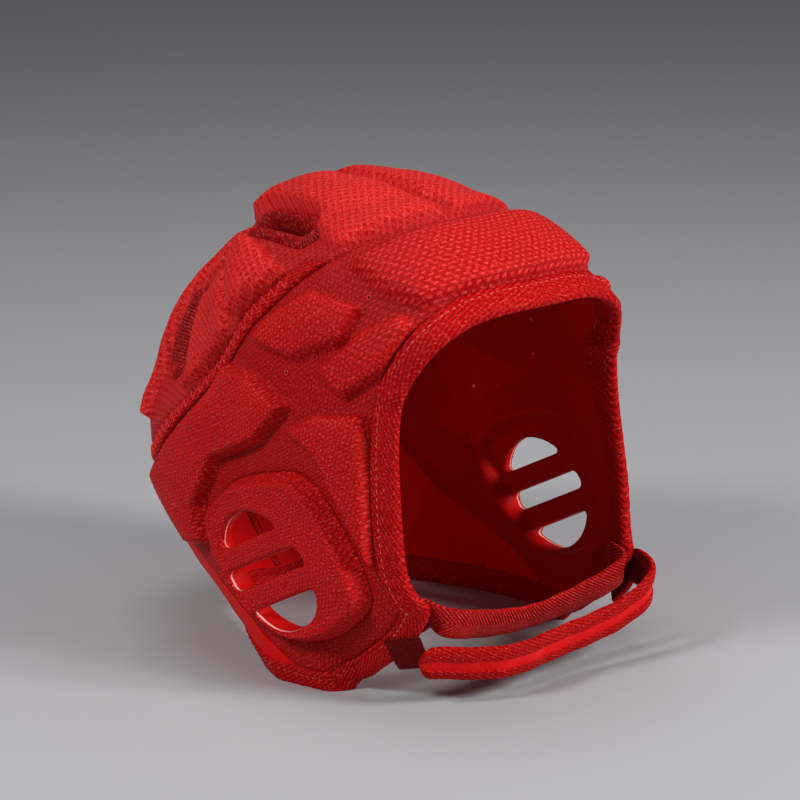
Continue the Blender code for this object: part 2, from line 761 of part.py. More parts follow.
def build_crown(stand):
    """The crown with its four openings."""

    def keep(x, y):
        azimuth, elevation = crown_chart(np.stack([x, y], axis=-1))
        return keep_crown(azimuth, elevation)

    half = CROWN_STEP / 2
    across = np.arange(*CROWN_STEPS_ACROSS) * CROWN_STEP
    along = np.arange(*CROWN_STEPS_ALONG) * CROWN_STEP + half
    flat, faces = cut_chart(across, along, keep)
    azimuth, elevation = crown_chart(flat)
    chart = np.stack([azimuth, elevation], axis=-1)
    shell_solid("crown_panel", chart, faces, (crown_outer, fixed(SHELL_INNER)), CROWN_CLOTH, stand)


def build_cup(name, side, stand):
    """One ear cup with its three slots."""
    columns = np.arange(*CUP_AZIMUTHS, CUP_STEP)
    rows = np.arange(*CUP_ELEVATIONS, CUP_STEP)
    if side < 0:
        columns = -columns[::-1]
    chart, faces = cut_chart(columns, rows, keep_cup)
    shell_solid(name, chart, faces, (cup_outer, cup_inner), PANEL_CLOTH, stand)


def band_faces(count, sides, closed):
    """Faces of a run of sections with this many points each, with end caps if it is open."""
    faces = []
    for i in range(count if closed else count - 1):
        here, there = i * sides, (i + 1) % count * sides
        for k in range(sides):
            after = (k + 1) % sides
            faces.append([here + k, here + after, there + after, there + k])
    if not closed:
        faces.append(list(range(sides))[::-1])
        faces.append([(count - 1) * sides + k for k in range(sides)])
    return faces


def chart_band(name, low, high, heights, cloth, stand, closed=False):
    """A strip of the shell between two chart lines with matching points."""
    outer_low, outer_high = shell_heights(low, heights[0]), shell_heights(high, heights[0])
    middle = (low + high) / 2
    crest, hollow = shell_heights(middle, heights[0] + TAPE_CREST), shell_heights(middle, heights[1])
    inner_low, inner_high = shell_heights(low, heights[1]), shell_heights(high, heights[1])
    sections = np.stack([outer_low, inner_low, hollow, inner_high, outer_high, crest], axis=1)
    points = sections.reshape(-1, 3)
    return add_piece(name, points, band_faces(len(low), 6, closed), cloth, stand)


def shell_heights(chart, height):
    return shell_point(chart[:, 0], chart[:, 1], np.full(len(chart), height))


def build_tape(stand):
    """The tape over the crown seam, from one front opening round the back to the other."""
    first = TAPE_START + TAPE_TIP
    azimuth = np.arange(first, 360.0 - first + TAPE_STEP / 8, TAPE_STEP)
    seam = seam_elevation(azimuth)
    low = np.stack([azimuth, seam + PIECE_GAP / MM_PER_ELEVATION], axis=-1)
    high = np.stack([azimuth, seam + tape_width(azimuth) / MM_PER_ELEVATION], axis=-1)
    chart_band("crown_tape", low, high, (TAPE_OUTER, TAPE_INNER), TAPE_CLOTH, stand)


def ring_inset(ring, inset):
    """A convex ring moved inwards."""
    before, after = np.roll(ring, 1, axis=0), np.roll(ring, -1, axis=0)
    along = after - before
    normal = np.stack([-along[:, 1], along[:, 0]], axis=-1)
    normal /= np.linalg.norm(normal, axis=1, keepdims=True)
    moved = ring + normal * inset
    if depth_inside(moved[:1], ring)[0] < 0:
        moved = ring - normal * inset
    return moved


def build_trims(stand):
    """Ribbed elastic round each crown opening."""
    for word, ring in (("front", FRONT_OPENING), ("rear", REAR_OPENING)):
        for side_word, side in (("right", 1.0), ("left", -1.0)):
            edges = []
            for inset in (TRIM_GAP, TRIM_WIDTH):
                flat = ring_inset(ring, inset) / MM_PER_CROWN_DEGREE * [side, 1.0]
                edges.append(np.stack(crown_chart(flat), axis=-1))
            low, high = edges if side > 0 else (edges[0][::-1], edges[1][::-1])
            name = f"crown_opening_trim_{word}_{side_word}"
            chart_band(name, low, high, (TAPE_OUTER, TAPE_INNER), TRIM_CLOTH, stand, closed=True)


def ribbon(name, path, upward, width, thickness, cloth, stand):
    """A flat strap along a path, its width along the upward vectors."""
    along = np.gradient(path, axis=0)
    along /= np.linalg.norm(along, axis=1, keepdims=True)
    up = upward - along * (upward * along).sum(axis=1, keepdims=True)
    up /= np.linalg.norm(up, axis=1, keepdims=True)
    out = np.cross(along, up)
    side, flat = STRAP_SIDE, STRAP_FLAT
    profile = ((0.5, side), (0.5, -side), (flat, -0.5), (-flat, -0.5))
    profile += ((-0.5, -side), (-0.5, side), (-flat, 0.5), (flat, 0.5))
    sections = np.stack([path + up * (a * width) + out * (b * thickness) for a, b in profile], axis=1)
    faces = [face[::-1] for face in band_faces(len(path), len(profile), False)]
    return add_piece(name, sections.reshape(-1, 3), faces, cloth, stand)


def on_cheek(side, rows, height):
    """Points and upward directions on a cheek, from azimuth and elevation rows."""
    rows = np.asarray(rows, float)
    level = np.full(len(rows), height)
    points = shell_point(side * rows[:, 0], rows[:, 1], level)
    above = shell_point(side * rows[:, 0], rows[:, 1] + 1.0, level) - points
    return points, above / np.linalg.norm(above, axis=1, keepdims=True)


def between_jaws(rows):
    """Points and upward directions of a strap's free run, from x, y, level and lean rows."""
    rows = np.asarray(rows, float)
    lean = np.radians(rows[:, 3])
    upward = np.stack([0.0 * lean, np.sin(lean), np.cos(lean)], axis=-1)
    return head_frame(rows[:, :3]), head_frame(upward)


def strap(name, runs, width, thickness, stand):
    """A strap through its runs in order."""
    points = smooth_curve(np.vstack([run[0] for run in runs]), 4, False)
    upward = smooth_curve(np.vstack([run[1] for run in runs]), 4, False)
    ribbon(name, points, upward, width, thickness, STRAP_CLOTH, stand)


def reverse(run):
    return run[0][::-1], run[1][::-1]


def build_straps(stand):
    """The chin band sewn inside both jaws, and the closing strap that laps the right cheek."""
    inside = BINDING_INNER - BAND_THICKNESS / 2 - BAND_CLEARANCE
    right, left = on_cheek(-1.0, BAND_SEWN, inside), on_cheek(1.0, BAND_SEWN, inside)
    strap("chin_band", (right, between_jaws(BAND_RUN), reverse(left)), BAND_WIDTH, BAND_THICKNESS, stand)
    over_patch = BINDING_OUTER + PATCH_THICKNESS + STRAP_THICKNESS / 2 + LAP_CLEARANCE
    over_rim = BINDING_OUTER + STRAP_THICKNESS / 2 + LAP_CLEARANCE
    right, left = on_cheek(-1.0, STRAP_LAP, over_patch), on_cheek(1.0, STRAP_SEWN, over_rim)
    strap("chin_strap", (right, between_jaws(STRAP_RUN), reverse(left)), STRAP_WIDTH, STRAP_THICKNESS, stand)
    azimuth = -np.linspace(PATCH_AZIMUTHS[1], PATCH_AZIMUTHS[0], 5)
    low = np.stack([azimuth, np.full(5, PATCH_ELEVATIONS[0])], axis=-1)
    high = np.stack([azimuth, np.full(5, PATCH_ELEVATIONS[1])], axis=-1)
    heights = (BINDING_OUTER + PATCH_THICKNESS, BINDING_OUTER + PIECE_GAP)
    chart_band("closure_patch", low, high, heights, TAPE_CLOTH, stand)


def centre_on_base(stand):
    """Moves the guard so that the middle of its footprint's box is the origin."""
    bpy.context.view_layer.update()
    corners = [piece.matrix_world @ vert.co for piece in stand.children for vert in piece.data.vertices]
    low, high = np.min(corners, axis=0), np.max(corners, axis=0)
    stand.location = (-(low[0] + high[0]) / 2, -(low[1] + high[1]) / 2, -low[2])


def main():
    for old in list(bpy.data.objects):
        bpy.data.objects.remove(old, do_unlink=True)
    stand = bpy.data.objects.new("guard_frame", None)
    bpy.context.collection.objects.link(stand)
    stand.rotation_euler = (-TIP_BACK, 0.0, 0.0)
    build_shell(stand)
    build_crown(stand)
    build_cup("ear_cup_right", -1.0, stand)
    build_cup("ear_cup_left", 1.0, stand)
    build_tape(stand)
    build_trims(stand)
    build_straps(stand)
    centre_on_base(stand)


main()
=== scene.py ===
"""Looks of a soft head guard: relief-knit foam panels, taped seams, ribbed vents and sewn chin straps.

Lengths are millimetres in the wearer's head frame, x to the wearer's left, y to the back and z up, until
a mesh is made, which places them as the guard stands, in metres. A point of the shell is an azimuth from
the front and an elevation, in degrees, and a height over the head form.
"""

import logging
from dataclasses import dataclass, field
from enum import Enum
from typing import Any, Callable, Sequence

import bpy
import numpy as np
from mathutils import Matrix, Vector


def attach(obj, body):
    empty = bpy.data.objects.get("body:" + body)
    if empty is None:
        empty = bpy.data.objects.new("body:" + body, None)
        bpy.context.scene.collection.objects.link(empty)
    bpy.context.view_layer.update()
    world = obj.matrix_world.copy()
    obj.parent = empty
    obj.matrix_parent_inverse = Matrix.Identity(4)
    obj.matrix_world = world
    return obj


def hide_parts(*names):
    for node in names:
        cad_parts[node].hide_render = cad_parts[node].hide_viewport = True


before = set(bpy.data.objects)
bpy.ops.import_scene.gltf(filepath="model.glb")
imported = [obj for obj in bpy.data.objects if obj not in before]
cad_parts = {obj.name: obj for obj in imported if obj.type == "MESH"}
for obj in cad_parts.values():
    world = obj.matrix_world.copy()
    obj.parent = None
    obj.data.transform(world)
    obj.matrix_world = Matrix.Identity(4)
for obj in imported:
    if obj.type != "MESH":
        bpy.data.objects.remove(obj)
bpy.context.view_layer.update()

LOG = logging.getLogger("head_guard")
Array = np.ndarray
Height = Callable[[Array, Array], Array]
Rows = Sequence[Sequence[float]]
Run = tuple[np.ndarray, np.ndarray]

BODY = "root"
CLOTH_PLACE = "cloth_mm"
CLOTH_KIND = "dash_share"
FAR_MM = 400.0
BACK = 180.0
SIDES = (("right", -1.0), ("left", 1.0))
MM_PER_METRE = 1000.0
CURVE_POINTS = 6
CHART_FOOT = -58.0
CHART_TOP = 50.0
SHARP_DEGREES = 55.0

# Face opening from mid brow to jaw, then the cheek down to where the rim reaches the surface
FACE_EDGE = (
    (0.0, 19.6),
    (14.0, 19.5),
    (21.0, 18.0),
    (27.0, 15.2),
    (33.0, 10.2),
    (37.0, 2.0),
    (40.0, -7.0),
    (43.2, -18.0),
    (45.2, -27.0),
    (44.6, -32.0),
    (42.5, -35.5),
)
CHEEK_EDGE = (
    (46.0, -40.0),
    (53.0, -45.0),
    (62.0, -48.5),
    (72.0, -51.5),
)
RIM_START = 84.0
RIM_STEP = 3.0

# Seams: between front panel or nape and crown, and between front panel and nape
CROWN_SEAM = (
    (0.0, 45.5),
    (48.0, 46.4),
    (69.0, 45.0),
    (99.0, 38.7),
    (120.0, 30.0),
    (137.0, 23.0),
    (180.0, 17.0),
)
NAPE_SEAM = (
    (139.0, 24.0),
    (126.0, -5.0),
    (93.0, -45.0),
    (88.0, -60.0),
)


def smooth_step(value: Array) -> Array:
    """Eases from 0 to 1 as value goes from 0 to 1."""
    held = np.clip(value, 0.0, 1.0)
    return held * held * (3.0 - 2.0 * held)


def bell(value: Array, spread: float) -> Array:
    """1 where value is 0, falling off over a spread on each side."""
    return np.exp(-((value / spread) ** 2))


def wrapped(azimuth: Array) -> Array:
    """Azimuth between -180 and 180."""
    return (np.asarray(azimuth) + 180.0) % 360.0 - 180.0


def smooth_curve(corners: Array, per_corner: int, closed: bool) -> Array:
    """A curve through corners.

    Args:
        corners: The points that it passes through.
        per_corner: Points of the curve for each corner.
        closed: Whether it returns to its first point.

    Returns:
        The points of the curve in order.
    """
    corners = np.asarray(corners, float)
    count = len(corners)
    ring = []
    for i in range(count if closed else count - 1):
        if closed:
            a, b, c, d = (corners[(i + k) % count] for k in (-1, 0, 1, 2))
        else:
            b, c = corners[i], corners[i + 1]
            a = corners[i - 1] if i > 0 else 2 * b - c
            d = corners[i + 2] if i + 2 < count else 2 * c - b
        for t in np.arange(per_corner) / per_corner:
            square = (2 * a - 5 * b + 4 * c - d) * t**2
            ring.append(0.5 * (2 * b + (c - a) * t + square + (3 * b - a - 3 * c + d) * t**3))
    if not closed:
        ring.append(corners[-1])
    return np.array(ring)


def nearest_on_line(points: Array, line: Array) -> tuple[Array, Array]:
    """Where plane points lie beside an open line.

    Args:
        points: The plane points.
        line: The line's points in order.

    Returns:
        Their distance to the line, and how far along it the nearest place is.
    """
    best = np.full(len(points), np.inf)
    place = np.zeros(len(points))
    run = 0.0
    for start, end in zip(line[:-1], line[1:]):
        along = end - start
        length = max(np.linalg.norm(along), 1e-9)
        reach = np.clip((points - start) @ along / length**2, 0.0, 1.0)
        away = np.linalg.norm(points - start - reach[:, None] * along, axis=1)
        closer = away < best
        best = np.where(closer, away, best)
        place = np.where(closer, run + reach * length, place)
        run += length
    return best, place


def run_along(line: Array) -> Array:
    """Distance from a line's first point to each of its points."""
    return np.concatenate([[0.0], np.linalg.norm(np.diff(line, axis=0), axis=1).cumsum()])


def points_at(places: Array, run: Array, line: Array) -> Array:
    """Points of a plane line.

    Args:
        places: Distances along it.
        run: Distance to each of the line's points.
        line: The line's points.

    Returns:
        The point at each place.
    """
    return np.stack([np.interp(places, run, line[:, k]) for k in (0, 1)], axis=-1)


def is_inside(points: Array, ring: Array) -> Array:
    """Whether plane points lie inside a closed ring.

    Args:
        points: The plane points.
        ring: The ring's corners in order.

    Returns:
        True for each point inside.
    """
    inside = np.zeros(len(points), bool)
    for start, end in zip(ring, np.roll(ring, -1, axis=0)):
        spans = (start[1] > points[:, 1]) != (end[1] > points[:, 1])
        rise = end[1] - start[1] if abs(end[1] - start[1]) > 1e-9 else 1e-9
        cross = start[0] + (points[:, 1] - start[1]) * (end[0] - start[0]) / rise
        inside ^= spans & (points[:, 0] < cross)
    return inside


def depth_inside(points: Array, ring: Array) -> Array:
    """Signed distance to a closed ring, positive inside.

    Args:
        points: The plane points.
        ring: The ring's corners in order.

    Returns:
        The distance of each point.
    """
    away, _ = nearest_on_line(points, np.vstack([ring, ring[:1]]))
    return np.where(is_inside(points, ring), away, -away)


@dataclass(frozen=True)
class HeadForm:
    """The rounded head that every piece lies over, and how the guard stands tipped back on its rim."""

    half_width: float = 86.0
    depth: float = 120.0
    rise: float = 136.0
    drop: float = 118.0
    plan_power: float = 2.5
    side_power: float = 2.6
    centre: tuple[float, float, float] = (0.0, 12.0, 24.0)
    brow_flare: float = 19.0
    flare_elevations: tuple[float, float] = (18.0, 45.0)
    flare_azimuths: tuple[float, float] = (20.0, 44.0)
    tip_back: float = float(np.radians(27.0))
    floor_level: float = -61.0
    floor_blend: float = 1.2
    floor_touch: float = 0.05
    floor_search: tuple[float, float] = (-75.0, 20.0)
    floor_rounds: int = 30
    shift_back: float = -34.1075
    mm_per_elevation: float = 2.05
    mm_per_azimuth: float = 1.8
    mm_per_crown_degree: float = 2.25
    tuck: tuple[tuple[float, float], ...] = (
        (78.0, 0.0),
        (86.0, -12.0),
        (104.0, -12.0),
        (112.0, -5.0),
        (120.0, 5.0),
        (130.0, 17.0),
        (142.0, 26.0),
        (180.0, 20.0),
    )
    tuck_level: float = 70.0
    tuck_far_share: float = 0.3
    front_sag: float = 4.5
    front_sag_azimuths: tuple[float, float] = (45.0, 72.0)
    front_sag_elevations: tuple[float, float, float, float] = (46.5, 56.0, 68.0, 80.0)
    sag: float = 8.0
    sag_azimuths: tuple[float, float] = (70.0, 105.0)
    sag_elevations: tuple[float, float, float, float] = (30.0, 45.0, 68.0, 84.0)

    def surface(self, azimuth: Array, elevation: Array) -> tuple[Array, Array]:
        """The form itself.

        Args:
            azimuth: Degrees from the front.
            elevation: Degrees above level.

        Returns:
            Points of the form and its outward normals there.
        """
        turn, lift = np.radians(azimuth), np.radians(elevation)
        ray = np.stack([np.sin(turn) * np.cos(lift), -np.cos(turn) * np.cos(lift), np.sin(lift)], axis=-1)
        height = np.where(ray[..., 2] < 0.0, self.drop, self.rise)
        sides = [np.full_like(height, self.half_width), np.full_like(height, self.depth)]
        half = np.stack([*sides, height], axis=-1)
        part = np.abs(ray) / half
        plan = part[..., 0] ** self.plan_power + part[..., 1] ** self.plan_power + 1e-12
        level = plan ** (self.side_power / self.plan_power) + part[..., 2] ** self.side_power
        point = ray * (level ** (-1.0 / self.side_power))[..., None]
        round_plan = plan ** (self.side_power / self.plan_power - 1.0)
        slope = np.sign(ray) / half
        slope[..., 0] *= round_plan * part[..., 0] ** (self.plan_power - 1.0)
        slope[..., 1] *= round_plan * part[..., 1] ** (self.plan_power - 1.0)
        slope[..., 2] *= part[..., 2] ** (self.side_power - 1.0)
        normal = slope / np.linalg.norm(slope, axis=-1, keepdims=True)
        return point + np.array(self.centre), normal

    def flare(self, azimuth: Array, elevation: Array) -> Array:
        """How far the brow stands forward of the form, in millimetres."""
        low, high = self.flare_elevations
        full, end = self.flare_azimuths
        side = (end - np.abs(azimuth)) / (end - full)
        return self.brow_flare * np.clip((high - elevation) / (high - low), 0.0, 1.0) * smooth_step(side)

    def slackened(self, azimuth: Array, elevation: Array, point: Array) -> Array:
        """How far the soft shell lies in from the form: the nape's foot and the sagging back of the crown.

        Args:
            azimuth: Degrees from the front.
            elevation: Degrees above level.
            point: Points of the form there.

        Returns:
            The distance in at each point, in millimetres.
        """
        turn = np.abs(wrapped(azimuth))
        rows = np.asarray(self.tuck)
        low = np.clip(1.0 - (self.level_of(point) - self.floor_level) / self.tuck_level, 0.0, 1.0)
        right = smooth_step(0.5 - point[..., 0] / self.half_width)
        share = self.tuck_far_share + (1.0 - self.tuck_far_share) * right
        tuck = np.interp(turn, rows[:, 0], rows[:, 1]) * share * low**2
        start, full = self.sag_azimuths
        behind = smooth_step((turn - start) / (full - start)) * self.plateau(elevation, self.sag_elevations)
        full, end = self.front_sag_azimuths
        front = smooth_step((end - turn) / (end - full)) * self.plateau(elevation, self.front_sag_elevations)
        return tuck + self.sag * behind + self.front_sag * front

    @staticmethod
    def plateau(value: Array, corners: tuple[float, float, float, float]) -> Array:
        """1 between the middle corners, easing to 0 at the outer ones."""
        a, b, c, d = corners
        return smooth_step((value - a) / (b - a)) * smooth_step((d - value) / (d - c))

    def over(self, azimuth: Array, elevation: Array, height: Array) -> Array:
        """Points at a height over the flared form.

        Args:
            azimuth: Degrees from the front.
            elevation: Degrees above level.
            height: Millimetres over the form.

        Returns:
            The points in the head frame.
        """
        point, normal = self.surface(azimuth, elevation)
        move = height + self.flare(azimuth, elevation) - self.slackened(azimuth, elevation, point)
        return point + normal * move[..., None]

    def level_of(self, points: Array) -> Array:
        """Height of head-frame points once the guard is tipped back."""
        return points[..., 2] * np.cos(self.tip_back) - points[..., 1] * np.sin(self.tip_back)

    def set_on_floor(self, points: Array) -> Array:
        """Moves head-frame points straight up or down to the surface that the guard stands on."""
        move = self.floor_level - self.level_of(points)
        return points + move[..., None] * np.array([0.0, -np.sin(self.tip_back), np.cos(self.tip_back)])

    def placed(self, points: Array) -> Array:
        """Head-frame millimetres as the guard stands, in metres."""
        x, y, z = np.moveaxis(np.asarray(points, float), -1, 0)
        back = y * np.cos(self.tip_back) + z * np.sin(self.tip_back) + self.shift_back
        up = z * np.cos(self.tip_back) - y * np.sin(self.tip_back) - self.floor_level
        return np.stack([x, back, up], axis=-1) / MM_PER_METRE

    def head_frame(self, standing: Array) -> Array:
        """Head-frame points for x, y and level of the standing pose."""
        x, y, z = np.moveaxis(np.asarray(standing, float), -1, 0)
        back = y * np.cos(self.tip_back) - z * np.sin(self.tip_back)
        up = y * np.sin(self.tip_back) + z * np.cos(self.tip_back)
        return np.stack([x, back, up], axis=-1)

    def panel_plane(self, azimuth: Array, elevation: Array) -> Array:
        """Millimetre plane of one side of the panels."""
        return np.stack([np.abs(azimuth) * self.mm_per_azimuth, elevation * self.mm_per_elevation], axis=-1)

    def crown_plane(self, azimuth: Array, elevation: Array) -> Array:
        """Millimetre plane of the crown's right half, seen from the top."""
        turn = np.radians(azimuth)
        out = (90.0 - elevation) * self.mm_per_crown_degree
        return np.stack([-np.abs(out * np.sin(turn)), -out * np.cos(turn)], axis=-1)

    def crown_chart(self, flat: Array) -> Array:
        """Azimuth and elevation of crown-plane degrees."""
        azimuth = np.degrees(np.arctan2(flat[:, 0], -flat[:, 1]))
        return np.stack([azimuth, 90.0 - np.hypot(flat[:, 0], flat[:, 1])], axis=-1)

    def floor_elevation(self, azimuth: Array) -> Array:
        """Elevation at which the form meets the surface that the guard stands on."""
        low, high = (np.full_like(azimuth, bound) for bound in self.floor_search)
        for _ in range(self.floor_rounds):
            middle = (low + high) / 2
            below = self.level_of(self.over(azimuth, middle, 0.0 * middle)) < self.floor_level
            low, high = np.where(below, middle, low), np.where(below, high, middle)
        return high


FORM = HeadForm()


def chart_rows(rows: Rows) -> Array:
    """A table of azimuth and elevation in the panel plane."""
    table = np.asarray(rows, float)
    return FORM.panel_plane(table[:, 0], table[:, 1])


class Layout:
    """The lines along which the panels are cut and sewn, in the panel plane."""

    def __init__(self) -> None:
        """Works the lines out from the tables."""
        front = smooth_curve(chart_rows(FACE_EDGE + CHEEK_EDGE), CURVE_POINTS, False)
        azimuth = np.arange(RIM_START, BACK + RIM_STEP / 2, RIM_STEP)
        self.edge = np.vstack([front, FORM.panel_plane(azimuth, FORM.floor_elevation(azimuth))])
        mirrored = self.edge[1:][::-1] * np.array([-1.0, 1.0])
        self.doubled = np.vstack([mirrored, self.edge])
        self.half_length = float(np.linalg.norm(np.diff(self.edge, axis=0), axis=1).sum())
        self.nape_line = chart_rows(NAPE_SEAM)
        self.jaw = chart_rows(FACE_EDGE)[-1]

    def edge_place(self, azimuth: Array, elevation: Array) -> tuple[Array, Array]:
        """Where points lie beside the guard's free edge.

        Args:
            azimuth: Degrees from the front.
            elevation: Degrees above level.

        Returns:
            Distance into the shell, and distance along the edge from mid brow.
        """
        points = FORM.panel_plane(wrapped(azimuth), elevation)
        away, place = nearest_on_line(points, self.doubled)
        right, left = self.edge[-1] + [FAR_MM, 0.0], self.edge[0] - [FAR_MM, 0.0]
        ring = np.vstack([self.edge, [right, [right[0], FAR_MM], [left[0], FAR_MM], left]])
        return np.where(is_inside(points, ring), away, -away), np.abs(place - self.half_length)

    def edge_depth(self, azimuth: Array, elevation: Array) -> Array:
        """Distance into the shell from the free edge."""
        return self.edge_place(azimuth, elevation)[0]

    def seam_elevation(self, azimuth: Array) -> Array:
        """Elevation of the crown seam."""
        rows = np.asarray(CROWN_SEAM)
        return np.interp(np.abs(wrapped(azimuth)), rows[:, 0], rows[:, 1])

    def below_crown(self, azimuth: Array, elevation: Array) -> Array:
        """Distance below the crown seam."""
        return (self.seam_elevation(azimuth) - elevation) * FORM.mm_per_elevation

    def behind_nape_seam(self, azimuth: Array, elevation: Array) -> Array:
        """Distance behind the seam between front panel and nape."""
        points = FORM.panel_plane(wrapped(azimuth), elevation)
        top, bottom = self.nape_line[:1] + [0.0, FAR_MM], self.nape_line[-1:] - [0.0, FAR_MM]
        line = np.vstack([top, self.nape_line, bottom])
        ring = np.vstack([line, [[-FAR_MM, bottom[0, 1]], [-FAR_MM, top[0, 1]]]])
        away, _ = nearest_on_line(points, line)
        return np.where(is_inside(points, ring), -away, away)

    def behind_jaw(self, azimuth: Array, elevation: Array) -> Array:
        """Distance behind the corner where face binding and rim binding meet."""
        points = FORM.panel_plane(wrapped(azimuth), elevation)
        return ((points - self.jaw) @ np.array([1.0, -1.0])) / np.sqrt(2.0)


LAYOUT = Layout()


@dataclass
class Patch:
    """A region of the chart, cut along its true outline."""

    chart: Array
    faces: list[list[int]]

    @property
    def azimuth(self) -> Array:
        """Azimuths of the points."""
        return self.chart[:, 0]

    @property
    def elevation(self) -> Array:
        """Elevations of the points."""
        return self.chart[:, 1]

    def border(self) -> list[tuple[int, int]]:
        """Directed edges that only one face has."""
        edges = {(a, b) for face in self.faces for a, b in zip(face, face[1:] + face[:1])}
        return sorted((a, b) for a, b in edges if (b, a) not in edges)


@dataclass(frozen=True)
class Cutter:
    """Cuts a region out of a grid over the chart."""

    keep: Height
    step: float
    snap: float = 0.3
    probe: float = 0.05
    near_steps: float = 4.0
    least_slope: float = 0.5
    least_square: float = 0.4
    edge_rounds: int = 3
    crossing_rounds: int = 12

    def slope(self, points: Array) -> Array:
        """Gradient of keep over the chart."""
        x, y, step = points[:, 0], points[:, 1], self.probe
        across = (self.keep(x + step, y) - self.keep(x - step, y)) / (2 * step)
        up = (self.keep(x, y + step) - self.keep(x, y - step)) / (2 * step)
        return np.stack([across, up], axis=-1)

    def on_edge(self, points: Array) -> Array:
        """Chart points moved onto the line where keep is zero."""
        points = points.copy()
        for _ in range(self.edge_rounds):
            value, slope = self.keep(points[:, 0], points[:, 1]), self.slope(points)
            points -= slope * (value / np.maximum((slope**2).sum(axis=1), self.least_square))[:, None]
        return points

    def cut(self, across: tuple[float, float], up: tuple[float, float]) -> Patch:
        """The part of a grid where keep is positive.

        Args:
            across: First and last azimuth of the grid.
            up: First and last elevation of the grid.

        Returns:
            The cut patch.
        """
        columns = np.arange(across[0], across[1] + self.step / 2, self.step)
        rows = np.arange(up[0], up[1] + self.step / 2, self.step)
        grid = np.stack(np.meshgrid(columns, rows, indexing="ij"), axis=-1).reshape(-1, 2)
        value = self.keep(grid[:, 0], grid[:, 1])
        near = np.flatnonzero(np.abs(value) < self.near_steps * self.step)
        slope = np.maximum(np.linalg.norm(self.slope(grid[near]), axis=1), self.least_slope)
        near = near[np.abs(value[near]) < self.snap * self.step * slope]
        grid[near] = self.on_edge(grid[near])
        value[near] = 0.0
        index = np.arange(len(grid)).reshape(len(columns), len(rows))
        around = [index[:-1, :-1], index[1:, :-1], index[1:, 1:], index[:-1, 1:]]
        corners = np.stack(around, axis=-1).reshape(-1, 4)
        good = value[corners] >= 0.0
        faces = corners[good.all(axis=1)].tolist()
        crossings: dict[tuple[int, int], int] = {}
        for cell in corners[good.any(axis=1) & ~good.all(axis=1)].tolist():
            face = []
            for a, b in zip(cell, cell[1:] + cell[:1]):
                if value[a] >= 0:
                    face.append(a)
                if value[a] * value[b] < 0:
                    key = (a, b) if value[a] > 0 else (b, a)
                    face.append(crossings.setdefault(key, len(grid) + len(crossings)))
            if len(face) > 2:
                faces.append(face)
        points = np.vstack([grid, self.crossing_points(grid, crossings)])
        middles = np.array([points[face].mean(axis=0) for face in faces])
        kept = self.keep(middles[:, 0], middles[:, 1]) > 0
        return self.compacted(points, [face for face, inside in zip(faces, kept) if inside])

    def crossing_points(self, grid: Array, crossings: dict[tuple[int, int], int]) -> Array:
        """Where the region's outline crosses the grid lines.

        Args:
            grid: Grid points.
            crossings: Pairs of a point inside and a point outside.

        Returns:
            One point for each pair, in order.
        """
        pairs = np.array(list(crossings))
        inside, outside = grid[pairs[:, 0]], grid[pairs[:, 1]]
        for _ in range(self.crossing_rounds):
            middle = (inside + outside) / 2
            deep = (self.keep(middle[:, 0], middle[:, 1]) > 0)[:, None]
            inside, outside = np.where(deep, middle, inside), np.where(deep, outside, middle)
        return (inside + outside) / 2

    def compacted(self, points: Array, faces: list[list[int]]) -> Patch:
        """The patch without unused points."""
        used = np.unique(np.concatenate([np.asarray(face) for face in faces]))
        index = np.full(len(points), -1)
        index[used] = np.arange(len(used))
        return Patch(points[used], [index[face].tolist() for face in faces])


@dataclass
class Value:
    """A number inside a material, whose operators add Math nodes."""

    shader: "Shader"
    socket: Any

    def math(self, operation: str, *others: "Value | float", first: float | None = None) -> "Value":
        """One Math node.

        Args:
            operation: The node's operation.
            others: Its further operands.
            first: Its first operand, if that isn't this value.

        Returns:
            The node's result.
        """
        operands = [self if first is None else first, *others]
        node = self.shader.add("ShaderNodeMath", {"operation": operation}, dict(enumerate(operands)))
        return Value(self.shader, node.outputs[0])

    def __add__(self, other: "Value | float") -> "Value":
        """Sum."""
        return self.math("ADD", other)

    __radd__ = __add__

    def __sub__(self, other: "Value | float") -> "Value":
        """Difference."""
        return self.math("SUBTRACT", other)

    def __rsub__(self, other: float) -> "Value":
        """Difference from a number."""
        return self.math("SUBTRACT", self, first=other)

    def __mul__(self, other: "Value | float") -> "Value":
        """Product."""
        return self.math("MULTIPLY", other)

    __rmul__ = __mul__

    def __truediv__(self, other: "Value | float") -> "Value":
        """Quotient."""
        return self.math("DIVIDE", other)

    def __mod__(self, other: float) -> "Value":
        """Remainder, never negative."""
        return self.math("FLOORED_MODULO", other)

    def __abs__(self) -> "Value":
        """Size without sign."""
        return self.math("ABSOLUTE")

    def __lt__(self, other: "Value | float") -> "Value":
        """1 where less."""
        return self.math("LESS_THAN", other)

    def sin(self) -> "Value":
        """Sine."""
        return self.math("SINE")

    def floor(self) -> "Value":
        """Whole number below."""
        return self.math("FLOOR")

    def root(self) -> "Value":
        """Square root."""
        return self.math("SQRT")

    def most(self, other: "Value | float") -> "Value":
        """The larger."""
        return self.math("MAXIMUM", other)

    def eased(self, low: float, high: float) -> "Value":
        """Eases from 0 at low to 1 at high."""
        settings = {"interpolation_type": "SMOOTHSTEP", "clamp": True}
        inputs = {"Value": self, "From Min": low, "From Max": high}
        node = self.shader.add("ShaderNodeMapRange", settings, inputs)
        return Value(self.shader, node.outputs["Result"])


